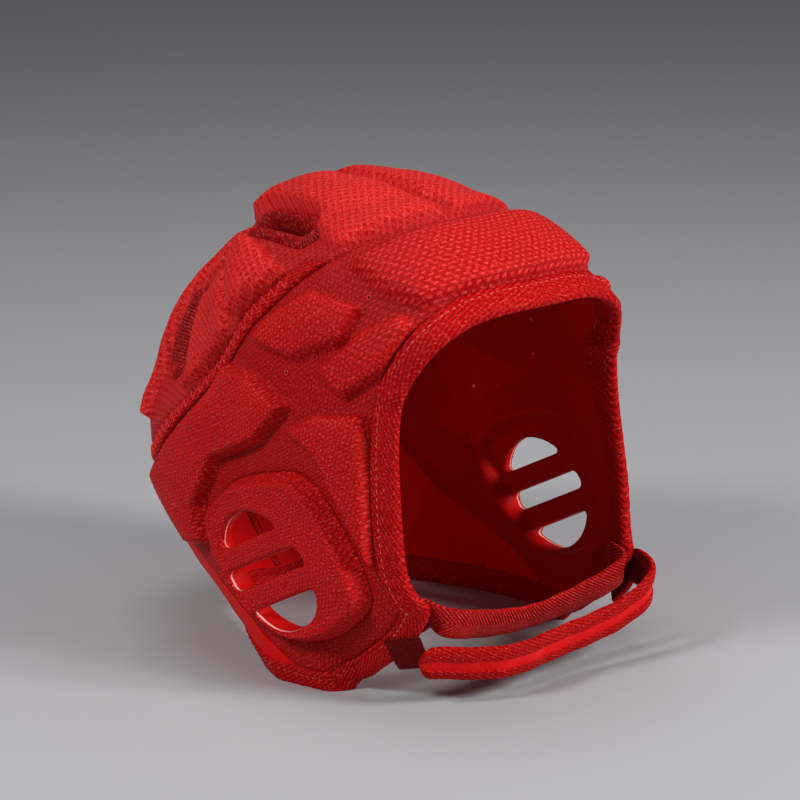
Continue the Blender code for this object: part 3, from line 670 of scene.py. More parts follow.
class Shader:
    """The node tree of one material."""

    def __init__(self, name: str) -> None:
        """Makes the material with a bare principled surface."""
        self.material = bpy.data.materials.new(name)
        self.material.use_nodes = True
        self.nodes = self.material.node_tree.nodes
        self.links = self.material.node_tree.links
        self.surface = self.nodes["Principled BSDF"]

    def put(self, socket: Any, value: Any) -> None:
        """Links a value or output to a socket, or sets it."""
        if isinstance(value, Value):
            value = value.socket
        if isinstance(value, bpy.types.NodeSocket):
            self.links.new(value, socket)
        else:
            socket.default_value = value

    def add(self, kind: str, settings: dict[str, Any], inputs: dict[Any, Any]) -> Any:
        """Any node.

        Args:
            kind: The node's type.
            settings: Its own settings, set first.
            inputs: Values or links of its sockets, by name or number.

        Returns:
            The node.
        """
        node = self.nodes.new(kind)
        for name, value in settings.items():
            setattr(node, name, value)
        for key, value in inputs.items():
            self.put(node.inputs[key], value)
        return node

    def place(self) -> tuple[tuple[Value, Value, Value], Any]:
        """Millimetres along and across the cloth, and its share of groove that is darkened as painted shade,
        singly and as a vector.
        """
        node = self.add("ShaderNodeAttribute", {"attribute_name": CLOTH_PLACE}, {})
        parts = self.add("ShaderNodeSeparateXYZ", {}, {0: node.outputs["Vector"]})
        return tuple(Value(self, parts.outputs[k]) for k in range(3)), node.outputs["Vector"]

    def kind_share(self) -> Value:
        """Share of the second pattern on a cloth that carries two."""
        node = self.add("ShaderNodeAttribute", {"attribute_name": CLOTH_KIND}, {})
        return Value(self, node.outputs["Fac"])

    def noise(self, place: Any, scale: float, detail: float = 2.0) -> Value:
        """Cloudy noise from 0 to 1.

        Args:
            place: The vector that it varies over.
            scale: Turns for each millimetre.
            detail: Finer layers.

        Returns:
            The noise.
        """
        node = self.add("ShaderNodeTexNoise", {}, {"Vector": place, "Scale": scale, "Detail": detail})
        return Value(self, node.outputs["Fac"])

    def mix_colour(self, share: Value, low: Any, high: Any) -> Any:
        """A colour between two, by share."""
        node = self.add("ShaderNodeMix", {"data_type": "RGBA"}, {0: share, 6: low, 7: high})
        return node.outputs[2]

    def bump(self, height: Value) -> Any:
        """A normal from a height in millimetres."""
        inputs = {"Strength": 1.0, "Distance": 1.0 / MM_PER_METRE, "Height": height}
        node = self.add("ShaderNodeBump", {}, inputs)
        return node.outputs["Normal"]


class Weave(Enum):
    """How a cloth's face is knitted or woven."""

    PANEL_RELIEF = "rounded hexagon cells, with rows of dashes where the second pattern lies"
    SCALE_RELIEF = "overlapping scales"
    TWILL = "diagonal ridges"
    HERRINGBONE = "ridges that meet in a V along the middle"
    RIBBED = "ribs across the cloth"
    SATIN = "smooth face of fine threads"
    PLAIN = "smooth stretch lining"
    PILE = "short loops"


# Turns for each millimetre of the noises that break up a cloth, and how far the first moves its pattern
WOBBLE_TURNS = 0.16
WOBBLE_MM = 3.4
YARN_TURNS = 1.3
FLECK_TURNS = 0.9
PATCH_TURNS = 0.03
FINE_DETAIL = 3.0

# Cell sizes in pitches, then where each form rises and falls in shares of a cell
CELL_RISE = (0.02, 0.24)
CELL_WOBBLE = 0.7
DASH_CELL = (1.45, 0.8)
DASH_ALONG = (0.16, 0.34)
DASH_ACROSS = (0.12, 0.34)
DASH_FLOOR = 0.2
SCALE_CELL = (1.25, 0.62)
SCALE_RISE = (0.18, 0.5)
SCALE_FALL = (0.5, 0.56)
SCALE_FLOOR = 0.3
SCALE_WOBBLE = 0.4
TWILL_LEAN = 0.42
TWILL_CROSS_LEAN = 0.4
TWILL_CROSS_TURNS = 1.1
TWILL_CROSS_SHARE = 0.3
HERRINGBONE_LEAN = 1.15
SATIN_WOBBLE = 0.1
PLAIN_RISE = (0.25, 0.75)

# How far height, yarn, worn patches and grooves change colour, roughness and relief. Colour is darkened in
# the weave's low parts and in the grooves between pads as painted shade, and lightened by flecks and a gleam
# on the raised parts as painted highlights.
TONE_RISE = (0.0, 0.6)
FLECK_RISE = (0.50, 0.66)
FLECK_FLOOR = 0.32
FLECK_ON_TOP = 0.4
GLEAM_RISE = (0.6, 0.95)
PATCH_RISE = (0.35, 0.75)
PATCH_SHARE = 0.2
GROOVE_SHADE_SHARE = 0.42
YARN_ROUGHNESS = 0.3
TOP_ROUGHNESS = 0.08
YARN_MM = 0.22
YARN_RELIEF = 0.5
SHEEN_ROUGHNESS = 0.35
SHEEN_TINT = (1.0, 0.3, 0.28, 1.0)


@dataclass(frozen=True)
class Cloth:
    """One cloth: its own colours and those of its painted shade and painted highlights, its gloss and face.
    """

    name: str
    colour: tuple[float, float, float]
    # shade is the colour of painted shade and of worn patches, light the colour of painted highlights.
    shade: tuple[float, float, float]
    light: tuple[float, float, float]
    weave: Weave
    pitch: float
    relief: float
    roughness: float = 0.6
    sheen: float = 0.03
    # contrast sets the painted shade in the weave's low parts; gleam and sparkle set the painted highlights,
    # and sparkle also sets the yarn's relief.
    contrast: float = 0.85
    gleam: float = 0.0
    gloss: float = 0.1
    sparkle: float = 1.0

    def hexagons(self, u: Value, v: Value, pitch: float) -> Value:
        """Distance from the borders of hexagon cells, 0 to 0.5 of their width."""
        tall, half = 3.0**0.5, 3.0**0.5 / 2
        x, y = u / pitch, v / pitch
        ax, ay = x % 1.0 - 0.5, y % tall - half
        bx, by = (x - 0.5) % 1.0 - 0.5, (y - half) % tall - half
        first = (ax * ax + ay * ay) < (bx * bx + by * by)
        gx, gy = abs(bx + (ax - bx) * first), abs(by + (ay - by) * first)
        return 0.5 - gx.most(gx * 0.5 + gy * half)

    def dashes(self, u: Value, v: Value) -> Value:
        """Short raised dashes in staggered rows."""
        wide, high = (self.pitch * size for size in DASH_CELL)
        row = (v / high).floor()
        x = abs((u / wide + row * 0.5) % 1.0 - 0.5)
        y = abs((v / high) % 1.0 - 0.5)
        return (1.0 - x.eased(*DASH_ALONG)) * (1.0 - y.eased(*DASH_ACROSS))

    def scales(self, u: Value, v: Value) -> Value:
        """Overlapping scales, highest at their round lower lips."""
        wide, high = (self.pitch * size for size in SCALE_CELL)
        best = None
        for step in (0.0, 1.0):
            row = (v / high).floor() + step
            x = (u / wide + row * 0.5) % 1.0 - 0.5
            y = (v / high - row) * (high / wide)
            reach = (x * x + y * y).root()
            lip = reach.eased(*SCALE_RISE) * (1.0 - reach.eased(*SCALE_FALL))
            best = lip if best is None else best.most(lip)
        return best

    def height(self, shader: Shader, u: Value, v: Value, place: Any) -> Value:
        """Height of the face, 0 to 1.

        Args:
            shader: The material's nodes.
            u: Millimetres along the cloth.
            v: Millimetres across the cloth.
            place: The same as a vector.

        Returns:
            The height.
        """
        wobble = shader.noise(place, WOBBLE_TURNS) * WOBBLE_MM
        turn = 2.0 * np.pi / self.pitch
        if self.weave is Weave.PANEL_RELIEF:
            cells = self.hexagons(u + wobble, v + wobble * CELL_WOBBLE, self.pitch).eased(*CELL_RISE)
            share = shader.kind_share()
            return cells * (1.0 - share) + (self.dashes(u, v) * (1.0 - DASH_FLOOR) + DASH_FLOOR) * share
        if self.weave is Weave.SCALE_RELIEF:
            moved = wobble * SCALE_WOBBLE
            return self.scales(u + moved, v + moved) * (1.0 - SCALE_FLOOR) + SCALE_FLOOR
        if self.weave is Weave.TWILL:
            ridge = self.wave((u * TWILL_LEAN + v) * turn)
            cross = ((u - v * TWILL_CROSS_LEAN) * (turn * TWILL_CROSS_TURNS)).sin()
            return ridge * (1.0 - TWILL_CROSS_SHARE + TWILL_CROSS_SHARE * cross)
        if self.weave is Weave.HERRINGBONE:
            return self.wave((u + abs(v) * HERRINGBONE_LEAN) * turn)
        if self.weave is Weave.RIBBED:
            return self.wave(u * turn)
        if self.weave is Weave.SATIN:
            return self.wave((v + wobble * SATIN_WOBBLE) * turn)
        return shader.noise(place, 1.0 / self.pitch, FINE_DETAIL).eased(*PLAIN_RISE)

    @staticmethod
    def wave(angle: Value) -> Value:
        """A round wave from 0 to 1."""
        return angle.sin() * 0.5 + 0.5

    def material(self) -> Any:
        """The finished material, made once and shared."""
        found = bpy.data.materials.get(self.name)
        if found is not None:
            return found
        shader = Shader(self.name)
        (u, v, groove), place = shader.place()
        face = self.height(shader, u, v, place)
        yarn = shader.noise(place, YARN_TURNS, FINE_DETAIL)
        fleck = shader.noise(place, FLECK_TURNS, FINE_DETAIL).eased(*FLECK_RISE)
        patch = shader.noise(place, PATCH_TURNS).eased(*PATCH_RISE)
        # Darker where the weave is low: painted shade.
        tone = face.eased(*TONE_RISE) * self.contrast + (1.0 - self.contrast)
        base = shader.mix_colour(tone, (*self.shade, 1.0), (*self.colour, 1.0))
        # Pale flecks, stronger on the weave's raised parts, and a gleam on its highest parts: painted
        # highlights.
        painted_highlight = fleck * (face * FLECK_ON_TOP + FLECK_FLOOR) * self.sparkle
        if self.gleam:
            share = shader.kind_share() if self.weave is Weave.PANEL_RELIEF else 1.0
            painted_highlight = painted_highlight + face.eased(*GLEAM_RISE) * (share * self.gleam)
        lit = shader.mix_colour(painted_highlight, base, (*self.light, 1.0))
        # Random worn patches, and painted shade in the grooves between pads.
        wear_and_groove_shade = (patch * PATCH_SHARE).most(groove * GROOVE_SHADE_SHARE)
        yarn_height = (YARN_MM + self.relief * YARN_RELIEF) * self.sparkle
        roughness = (yarn - 0.5) * YARN_ROUGHNESS + (self.roughness - TOP_ROUGHNESS * face)
        inputs = shader.surface.inputs
        shader.put(inputs["Base Color"], shader.mix_colour(wear_and_groove_shade, lit, (*self.shade, 1.0)))
        shader.put(inputs["Roughness"], roughness)
        shader.put(inputs["Normal"], shader.bump(face * self.relief + yarn * yarn_height))
        inputs["Sheen Weight"].default_value = self.sheen
        inputs["Sheen Roughness"].default_value = SHEEN_ROUGHNESS
        inputs["Sheen Tint"].default_value = SHEEN_TINT
        inputs["Specular IOR Level"].default_value = self.gloss
        return shader.material


# The cloth's own red, then the dark red of worn patches and painted shade, and the pale red of painted
# highlights.
RED = (0.60, 0.0028, 0.0035)
WEAR_AND_SHADE_RED = (0.22, 0.0008, 0.0012)
PAINTED_HIGHLIGHT_RED = (0.88, 0.06, 0.055)
PANEL_KNIT = Cloth(
    name="panel_relief_knit",
    colour=RED,
    shade=WEAR_AND_SHADE_RED,
    light=PAINTED_HIGHLIGHT_RED,
    weave=Weave.PANEL_RELIEF,
    pitch=2.4,
    relief=0.24,
    contrast=0.58,
    gleam=0.4,
)
CROWN_KNIT = Cloth(
    name="crown_relief_knit",
    colour=RED,
    shade=WEAR_AND_SHADE_RED,
    light=PAINTED_HIGHLIGHT_RED,
    weave=Weave.SCALE_RELIEF,
    pitch=3.6,
    relief=0.36,
    contrast=0.52,
    gleam=0.26,
)
TAPE_TWILL = Cloth(
    name="binding_twill_cloth",
    colour=(0.54, 0.0025, 0.003),
    shade=(0.16, 0.0005, 0.0008),
    light=PAINTED_HIGHLIGHT_RED,
    weave=Weave.TWILL,
    pitch=1.7,
    relief=0.2,
    contrast=0.68,
    gloss=0.05,
)
CHEVRON_TAPE = Cloth(
    name="chevron_tape_cloth",
    colour=(0.58, 0.003, 0.003),
    shade=(0.08, 0.0004, 0.0006),
    light=PAINTED_HIGHLIGHT_RED,
    weave=Weave.HERRINGBONE,
    pitch=2.1,
    relief=0.45,
)
RIB_ELASTIC = Cloth(
    name="ribbed_elastic_cloth",
    colour=(0.36, 0.0015, 0.002),
    shade=(0.03, 0.0002, 0.0003),
    light=PAINTED_HIGHLIGHT_RED,
    weave=Weave.RIBBED,
    pitch=1.7,
    relief=0.2,
)
STRAP_SATIN = Cloth(
    name="strap_satin_cloth",
    colour=(0.80, 0.004, 0.005),
    shade=(0.60, 0.003, 0.004),
    light=(1.0, 0.1, 0.09),
    weave=Weave.SATIN,
    pitch=0.5,
    relief=0.05,
    roughness=0.36,
    sheen=0.04,
    sparkle=0.15,
)
LINING = Cloth(
    name="smooth_lining_cloth",
    colour=(0.56, 0.0025, 0.003),
    shade=(0.40, 0.0015, 0.002),
    light=(0.5, 0.01, 0.01),
    weave=Weave.PLAIN,
    pitch=0.9,
    relief=0.08,
    sparkle=0.35,
)
# The nape's smooth stretch cloth, coloured brighter than the other reds as painted light on the lit inside
# of the nape.
NAPE_CLOTH = Cloth(
    name="nape_stretch_face",
    colour=(0.74, 0.003, 0.004),
    shade=(0.58, 0.002, 0.003),
    light=(0.7, 0.02, 0.02),
    weave=Weave.PLAIN,
    pitch=0.9,
    relief=0.1,
    sparkle=0.45,
)
PILE_CLOTH = Cloth(
    name="fastening_pile",
    colour=(0.20, 0.001, 0.0015),
    shade=(0.02, 0.0003, 0.0006),
    light=(0.3, 0.01, 0.01),
    weave=Weave.PILE,
    pitch=0.8,
    relief=0.7,
    roughness=0.85,
)
# Near black disc in each eyelet's middle: painted shade of the hole.
HOLE_SHADE = Cloth(
    name="eyelet_painted_shade",
    colour=(0.03, 0.0005, 0.0008),
    shade=(0.01, 0.0002, 0.0003),
    light=(0.05, 0.001, 0.001),
    weave=Weave.PLAIN,
    pitch=0.5,
    relief=0.05,
)
# Pale pink painted highlight, on a thin band of the cup slots' walls and as painted light showing through
# the eyelets from inside.
PAINTED_LIGHT_PINK = Cloth(
    name="painted_light_pink",
    colour=(0.95, 0.42, 0.38),
    shade=(0.80, 0.22, 0.20),
    light=(1.0, 0.6, 0.56),
    weave=Weave.PLAIN,
    pitch=0.5,
    relief=0.06,
)
THREAD = Cloth(
    name="red_sewing_thread",
    colour=(0.85, 0.035, 0.035),
    shade=(0.55, 0.01, 0.01),
    light=(0.95, 0.2, 0.18),
    weave=Weave.SATIN,
    pitch=0.4,
    relief=0.04,
    roughness=0.45,
)
PALE_THREAD = Cloth(
    name="pale_sewing_thread",
    colour=(0.85, 0.12, 0.11),
    shade=(0.6, 0.05, 0.05),
    light=(1.0, 0.35, 0.32),
    weave=Weave.SATIN,
    pitch=0.4,
    relief=0.04,
    roughness=0.45,
)


@dataclass
class Piece:
    """One object of the dressed guard, from head-frame points in millimetres."""

    name: str
    points: Array
    faces: list[list[int]]
    cloths: Sequence[Cloth]
    slots: Sequence[int]
    place: Array
    kind: Array | None = None
    sharp: float = SHARP_DEGREES

    def make(self, record_slot: str, nodes: Sequence[str] = (), fill: float | None = None) -> Any:
        """Makes the object, rides it on the body and hides the nodes of the solid model that it replaces.

        Args:
            record_slot: The record's material slot; not used.
            nodes: Nodes of the solid model that it replaces.
            fill: How tightly a padded piece is filled; not used.

        Returns:
            The object.
        """
        mesh = bpy.data.meshes.new(self.name)
        mesh.from_pydata(FORM.placed(self.points).tolist(), [], self.faces)
        for cloth in self.cloths:
            mesh.materials.append(cloth.material())
        mesh.polygons.foreach_set("material_index", np.asarray(self.slots, np.int32))
        place = np.zeros((len(self.points), 3))
        place[:, : self.place.shape[1]] = self.place
        mesh.attributes.new(CLOTH_PLACE, "FLOAT_VECTOR", "POINT").data.foreach_set("vector", place.ravel())
        if self.kind is not None:
            mesh.attributes.new(CLOTH_KIND, "FLOAT", "POINT").data.foreach_set("value", self.kind)
        mesh.shade_smooth()
        mesh.set_sharp_from_angle(angle=np.radians(self.sharp))
        piece = bpy.data.objects.new(self.name, mesh)
        bpy.context.scene.collection.objects.link(piece)
        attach(piece, BODY)
        if nodes:
            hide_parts(*nodes)
        LOG.info("%s: %d faces", self.name, len(self.faces))
        return piece


@dataclass(frozen=True)
class Shell:
    """A closed wall between two heights over a patch of the chart."""

    patch: Patch
    outer: Array
    inner: Array
    place: Array
    kind: Array | None = None
    bands: tuple[float, ...] = (0.0, 1.0)
    covered: Array | None = None

    def piece(self, name: str, cloths: Sequence[Cloth], resting: bool = False) -> Piece:
        """The wall as a piece.

        Args:
            name: Its name.
            cloths: Outer cloth, lining, and the cloth of each band of the cut wall.
            resting: Whether its foot is laid flat on the surface.

        Returns:
            The piece, not yet made.
        """
        azimuth, elevation = self.patch.azimuth, self.patch.elevation
        sides = [FORM.over(azimuth, elevation, self.outer), FORM.over(azimuth, elevation, self.inner)]
        if resting:
            level = FORM.level_of(FORM.over(azimuth, elevation, 0.0 * azimuth))
            low = level < FORM.floor_level + FORM.floor_blend
            for side in sides:
                foot = low | (FORM.level_of(side) < FORM.floor_level + FORM.floor_touch)
                side[foot] = FORM.set_on_floor(side[foot])
        count, faces, border = len(self.patch.chart), self.patch.faces, self.patch.border()
        solid = list(faces) + [[k + count for k in face[::-1]] for face in faces]
        slots = [0] * len(faces) + [1] * len(faces)
        covered = np.zeros(count, bool) if self.covered is None else self.covered
        rim = sorted({k for edge in border for k in edge})
        rows, points, origins = [{k: k for k in rim}], [*sides], [np.arange(count), np.arange(count)]
        for share in self.bands[1:-1]:
            start = sum(len(part) for part in points)
            rows.append({k: start + i for i, k in enumerate(rim)})
            points.append(sides[0][rim] * (1.0 - share) + sides[1][rim] * share)
            origins.append(np.array(rim))
        rows.append({k: k + count for k in rim})
        for band, (upper, lower) in enumerate(zip(rows[:-1], rows[1:])):
            solid += [[upper[b], upper[a], lower[a], lower[b]] for a, b in border]
            slots += [0 if covered[a] else 2 + band for a, _ in border]
        origin = np.concatenate(origins)
        kind = None if self.kind is None else self.kind[origin]
        return Piece(name, np.vstack(points), solid, cloths, slots, self.place[origin], kind)


# Share, turn for each degree of azimuth and of elevation, and start of each slow wave
UNEVEN_WAVES = (
    (1.0, 0.21, 0.13, 0.0),
    (1.0, -0.11, 0.27, 1.7),
    (0.6, 0.47, -0.39, 0.6),
)
PAD_SPREAD = 1.0
PAD_WALL = 0.92
PAD_CROWN = 0.14
PAD_CROWN_EDGES = 3.0


def undulation(azimuth: Array, elevation: Array, size: float) -> Array:
    """Gentle unevenness of soft goods.

    Args:
        azimuth: Degrees from the front.
        elevation: Degrees above level.
        size: Its greatest height in millimetres.

    Returns:
        Height to add.
    """
    x, y = np.asarray(azimuth), np.asarray(elevation)
    waves = sum(share * np.sin(x * along + y * up + start) for share, along, up, start in UNEVEN_WAVES)
    return size * waves / sum(wave[0] for wave in UNEVEN_WAVES)


def pads_raised(points: Array, pads: Sequence[tuple[Array, float]], edge: float) -> Array:
    """Height of crowned pads over the groove between them.

    Args:
        points: Plane points.
        pads: Each pad's ring and rise.
        edge: How far in from its ring a pad reaches its rise.

    Returns:
        The height of each point.
    """
    height = np.zeros(len(points))
    for ring, rise in pads:
        depth = depth_inside(points, ring) + PAD_SPREAD
        wall, crown = smooth_step(depth / edge), smooth_step(depth / (PAD_CROWN_EDGES * edge))
        height = np.maximum(height, rise * (PAD_WALL * wall + PAD_CROWN * crown))
    return height


FOREHEAD_RISE = 7.0
FOREHEAD_PAD = (
    (-34.0, 42.5),
    (28.0, 42.5),
    (25.0, 33.0),
    (21.0, 26.2),
    (-24.0, 25.8),
    (-30.0, 33.0),
)
SIDE_PADS = (
    (((70.0, 41.5), (60.0, 43.5), (45.0, 42.0), (34.0, 32.0), (42.0, 28.0), (56.0, 31.0)), 7.0),
    (((51.0, 26.0), (37.0, 28.0), (28.0, 26.5), (25.5, 22.5), (34.0, 17.5), (46.0, 17.0)), 6.5),
    (
        ((65.0, 17.0), (54.0, 17.0), (42.0, 12.0), (46.0, -8.0), (53.0, -26.0), (57.0, -3.0), (58.0, 7.0)),
        6.5,
    ),
    (
        (
            (135.0, 20.0),
            (117.0, 28.5),
            (83.0, 40.5),
            (70.0, 33.0),
            (61.0, 22.0),
            (76.0, 18.0),
            (97.0, 19.0),
            (112.0, 8.0),
            (115.0, -3.0),
            (124.0, -1.0),
        ),
        8.0,
    ),
)


@dataclass
class Bindings:
    """The folded cloth that binds the face opening, and the rim round the cheeks and nape."""

    width: float = 12.0
    middle: float = -0.2
    half: float = 3.4
    roll: float = 3.4
    gap: float = 0.35
    least_square: float = 0.02
    stitch_line: float = 9.4
    stitch_press: float = 0.45
    stitch_spread: float = 0.9
    pucker: float = 0.14
    pucker_turns: float = 0.9
    tuck: float = 0.5
    tuck_width: float = 1.0
    lump: float = 1.3
    lump_place: float = 63.0
    lump_spread: float = 3.2
    step: float = 0.5
    sides: tuple[float, float] = (-60.0, 60.0)
    round_back: tuple[float, float] = (40.0, 320.0)
    heights: tuple[float, float] = (CHART_FOOT, 31.0)

    def keep_face(self, azimuth: Array, elevation: Array) -> Array:
        """Where the face binding is."""
        edge = LAYOUT.edge_depth(azimuth, elevation)
        return np.minimum(np.minimum(edge, self.width - edge), -LAYOUT.behind_jaw(azimuth, elevation))

    def keep_rim(self, azimuth: Array, elevation: Array) -> Array:
        """Where the rim binding is."""
        edge = LAYOUT.edge_depth(azimuth, elevation)
        behind = LAYOUT.behind_jaw(azimuth, elevation) - self.gap
        return np.minimum(np.minimum(edge, self.width - edge), behind)

    def shell(self, patch: Patch) -> Shell:
        """The folded cloth over a patch, rolled at the free edge and pressed in along its stitches."""
        depth, along = LAYOUT.edge_place(patch.azimuth, patch.elevation)
        flat = 1.0 - np.clip(depth / self.roll, 0.0, 1.0)
        rolled = np.sqrt(np.maximum(1.0 - flat**2, self.least_square))
        pressed = self.stitch_press * bell(depth - self.stitch_line, self.stitch_spread)
        pucker = self.pucker * np.sin(along * self.pucker_turns) * smooth_step(depth / self.roll)
        tucked = self.tuck * smooth_step((depth - self.width + self.tuck_width) / self.tuck_width)
        on_face = LAYOUT.behind_jaw(patch.azimuth, patch.elevation) < 0.0
        lump = self.lump * bell(along - self.lump_place, self.lump_spread) * on_face
        outer = self.middle + (self.half + lump) * rolled - pressed + pucker - tucked
        inner = self.middle - (self.half + lump) * rolled + pressed + tucked
        return Shell(patch, outer, inner, np.stack([along, depth], axis=-1))

    def build(self) -> None:
        """Makes both bindings."""
        cloths = (TAPE_TWILL, TAPE_TWILL, TAPE_TWILL)
        face = Cutter(self.keep_face, self.step).cut(self.sides, self.heights)
        self.shell(face).piece("face_binding_cloth", cloths).make("binding_twill", ["face_binding"])
        rim = Cutter(self.keep_rim, self.step).cut(self.round_back, self.heights)
        piece = self.shell(rim).piece("rim_binding_cloth", cloths, resting=True)
        piece.make("binding_twill", ["rim_binding"])


BINDINGS = Bindings()


@dataclass
class EarCups:
    """A moulded cup over each ear, with three slots and a hollow inside."""

    outline: Rows = (
        (93.0, 11.0),
        (77.0, 9.0),
        (64.5, 4.0),
        (58.5, -9.0),
        (56.0, -26.0),
        (60.0, -34.5),
        (78.0, -39.5),
        (96.0, -33.5),
        (107.0, -19.0),
        (111.0, -2.0),
        (106.0, 7.0),
    )
    rise: float = 10.5
    outer_edge: float = 3.0
    inner_base: float = -3.5
    inner_rise: float = 7.0
    edge: float = 6.5
    rim_inset: float = 3.0
    slot_centre: tuple[float, float] = (8.0, -3.0)
    oval: tuple[float, float] = (62.0, 47.0)
    oval_lean: float = float(np.radians(-35.0))
    bars: tuple[float, float] = (10.5, -9.5)
    bar_width: float = 10.5
    corner: float = 3.4
    lip: float = 2.6
    lip_drop: float = 2.0
    ridge: float = 0.7
    ridge_spread: float = 2.2
    seam_drop: float = 0.8
    seam_roll: float = 2.0
    lining_drop_share: float = 0.4
    unevenness: float = 0.25
    unevenness_turns: tuple[float, float] = (1.7, 1.9)
    wall_shares: tuple[float, ...] = (0.0, 0.12, 0.24, 1.0)
    outline_reach: float = 0.5
    step: float = 0.62
    azimuths: tuple[float, float] = (49.0, 116.0)
    elevations: tuple[float, float] = (-44.0, 15.0)
    ring: Array = field(init=False)

    def __post_init__(self) -> None:
        """Rounds the outline."""
        self.ring = smooth_curve(chart_rows(self.outline), CURVE_POINTS, True)

    def depth(self, azimuth: Array, elevation: Array) -> Array:
        """Distance into the cup's outline."""
        return depth_inside(FORM.panel_plane(azimuth, elevation), self.ring)

    def slot_depth(self, azimuth: Array, elevation: Array) -> Array:
        """Distance into the nearest slot: a leaning oval crossed by two bars."""
        point = FORM.surface(azimuth, elevation)[0]
        y, z = point[..., 1] - self.slot_centre[0], point[..., 2] - self.slot_centre[1]
        along = z * np.cos(self.oval_lean) - y * np.sin(self.oval_lean)
        across = z * np.sin(self.oval_lean) + y * np.cos(self.oval_lean)
        length, width = self.oval
        oval = (1.0 - np.hypot(along / (length / 2), across / (width / 2))) * width / 2
        best = np.full_like(oval, -np.inf)
        top, bottom = self.bars
        half = self.bar_width / 2
        for low, high in ((top + half, np.inf), (bottom + half, top - half), (-np.inf, bottom - half)):
            band = np.minimum(z - low, high - z)
            rounded = np.hypot(np.maximum(self.corner - oval, 0), np.maximum(self.corner - band, 0))
            best = np.maximum(best, np.minimum(np.minimum(oval, band), self.corner - rounded))
        return best

    def keep(self, azimuth: Array, elevation: Array) -> Array:
        """Where the cup is."""
        return np.minimum(self.depth(azimuth, elevation), -self.slot_depth(azimuth, elevation))

    def shell(self, patch: Patch) -> Shell:
        """The cup's wall over a patch."""
        azimuth, elevation = patch.azimuth, patch.elevation
        depth, slot = self.depth(azimuth, elevation), -self.slot_depth(azimuth, elevation)
        plateau = (self.rise - self.outer_edge) * smooth_step(depth / self.edge)
        ridge = self.ridge * bell(depth - self.edge, self.ridge_spread)
        flat = 1.0 - np.clip(slot / self.lip, 0, 1)
        dropped = self.lip_drop * (1.0 - np.sqrt(np.clip(1.0 - flat**2, 0, 1)))
        rolled = self.seam_drop * (1.0 - smooth_step(depth / self.seam_roll))
        along, up = self.unevenness_turns
        uneven = undulation(azimuth * along, elevation * up, self.unevenness)
        outer = self.outer_edge + plateau + ridge - dropped - rolled + uneven
        hollow = self.inner_rise * smooth_step((depth - self.rim_inset) / self.edge)
        inner = self.inner_base + hollow + self.lining_drop_share * dropped
        place = FORM.panel_plane(azimuth, elevation)
        plain = np.zeros(len(azimuth))
        return Shell(patch, outer, inner, place, plain, self.wall_shares, np.abs(depth) < self.outline_reach)

    def build(self) -> None:
        """Makes both cups."""
        # Slot walls: knit, then a thin band of painted highlight, then lining.
        cloths = (PANEL_KNIT, LINING, PANEL_KNIT, PAINTED_LIGHT_PINK, LINING)
        for word, side in SIDES:
            across = self.azimuths if side > 0 else (-self.azimuths[1], -self.azimuths[0])
            patch = Cutter(self.keep, self.step).cut(across, self.elevations)
            piece = self.shell(patch).piece(f"ear_cup_cover_{word}", cloths)
            piece.make("panel_knit", [f"ear_cup_{word}"], fill=0.9)


CUPS = EarCups()


@dataclass
class FrontPanel:
    """The foam panel round brow, temples and cheeks, moulded into pads with grooves between them."""

    groove: float = 2.0
    inner: float = -3.5
    pad_edge: float = 4.2
    groove_depth: float = 3.0
    lap: float = 0.9
    seam_drop: float = 1.5
    seam_roll: float = 2.2
    seam_ease: float = 3.0
    unevenness: float = 0.2
    reach: float = 145.0
    step: float = 0.74
    dash_sides: tuple[float, float] = (33.0, 44.0)
    dash_foot: float = 19.0
    dash_ease: float = 4.0
    pads: list[tuple[Array, float]] = field(init=False)
    forehead: list[tuple[Array, float]] = field(init=False)

    def __post_init__(self) -> None:
        """Places the pads in the panel plane."""
        self.pads = [(chart_rows(rows), rise) for rows, rise in SIDE_PADS]
        scale = [FORM.mm_per_azimuth, FORM.mm_per_elevation]
        self.forehead = [(np.asarray(FOREHEAD_PAD) * scale, FOREHEAD_RISE)]

    def keep(self, azimuth: Array, elevation: Array) -> Array:
        """Where the panel is."""
        edge = LAYOUT.edge_depth(azimuth, elevation) - BINDINGS.width + self.lap
        margin = np.minimum(LAYOUT.below_crown(azimuth, elevation), edge)
        margin = np.minimum(margin, -LAYOUT.behind_nape_seam(azimuth, elevation))
        return np.minimum(margin, self.lap - CUPS.depth(azimuth, elevation))

    def outer(self, azimuth: Array, elevation: Array) -> Array:
        """Outer height of the panel."""
        side = FORM.panel_plane(azimuth, elevation)
        front = side * np.stack([np.sign(azimuth), np.ones_like(azimuth)], axis=-1)
        high = pads_raised(side, self.pads, self.pad_edge)
        high = np.maximum(high, pads_raised(front, self.forehead, self.pad_edge))
        return self.groove + high

    def build(self) -> None:
        """Makes the padded panel."""
        patch = Cutter(self.keep, self.step).cut((-self.reach, self.reach), (CHART_FOOT, CHART_TOP))
        azimuth, elevation = patch.azimuth, patch.elevation
        margin = self.keep(azimuth, elevation)
        rolled = self.seam_drop * (1.0 - smooth_step(margin / self.seam_roll))
        held = smooth_step((margin - self.lap) / self.seam_ease)
        outer = self.groove + (self.outer(azimuth, elevation) - self.groove) * held
        outer = outer - rolled + undulation(azimuth, elevation, self.unevenness)
        inner = np.full_like(outer, self.inner)
        start, end = self.dash_sides
        kind = smooth_step((end - np.abs(azimuth)) / (end - start))
        kind *= smooth_step((elevation - self.dash_foot) / self.dash_ease)
        # Share of groove between the pads, which the material darkens as painted shade.
        groove = 1.0 - smooth_step((outer - self.groove + rolled) / self.groove_depth)
        plane = [azimuth * FORM.mm_per_azimuth, elevation * FORM.mm_per_elevation, groove]
        shell = Shell(patch, outer, inner, np.stack(plane, axis=-1), kind)
        piece = shell.piece("front_panel_cover", (PANEL_KNIT, LINING, LINING))
        piece.make("panel_knit", ["front_panel"], fill=0.9)


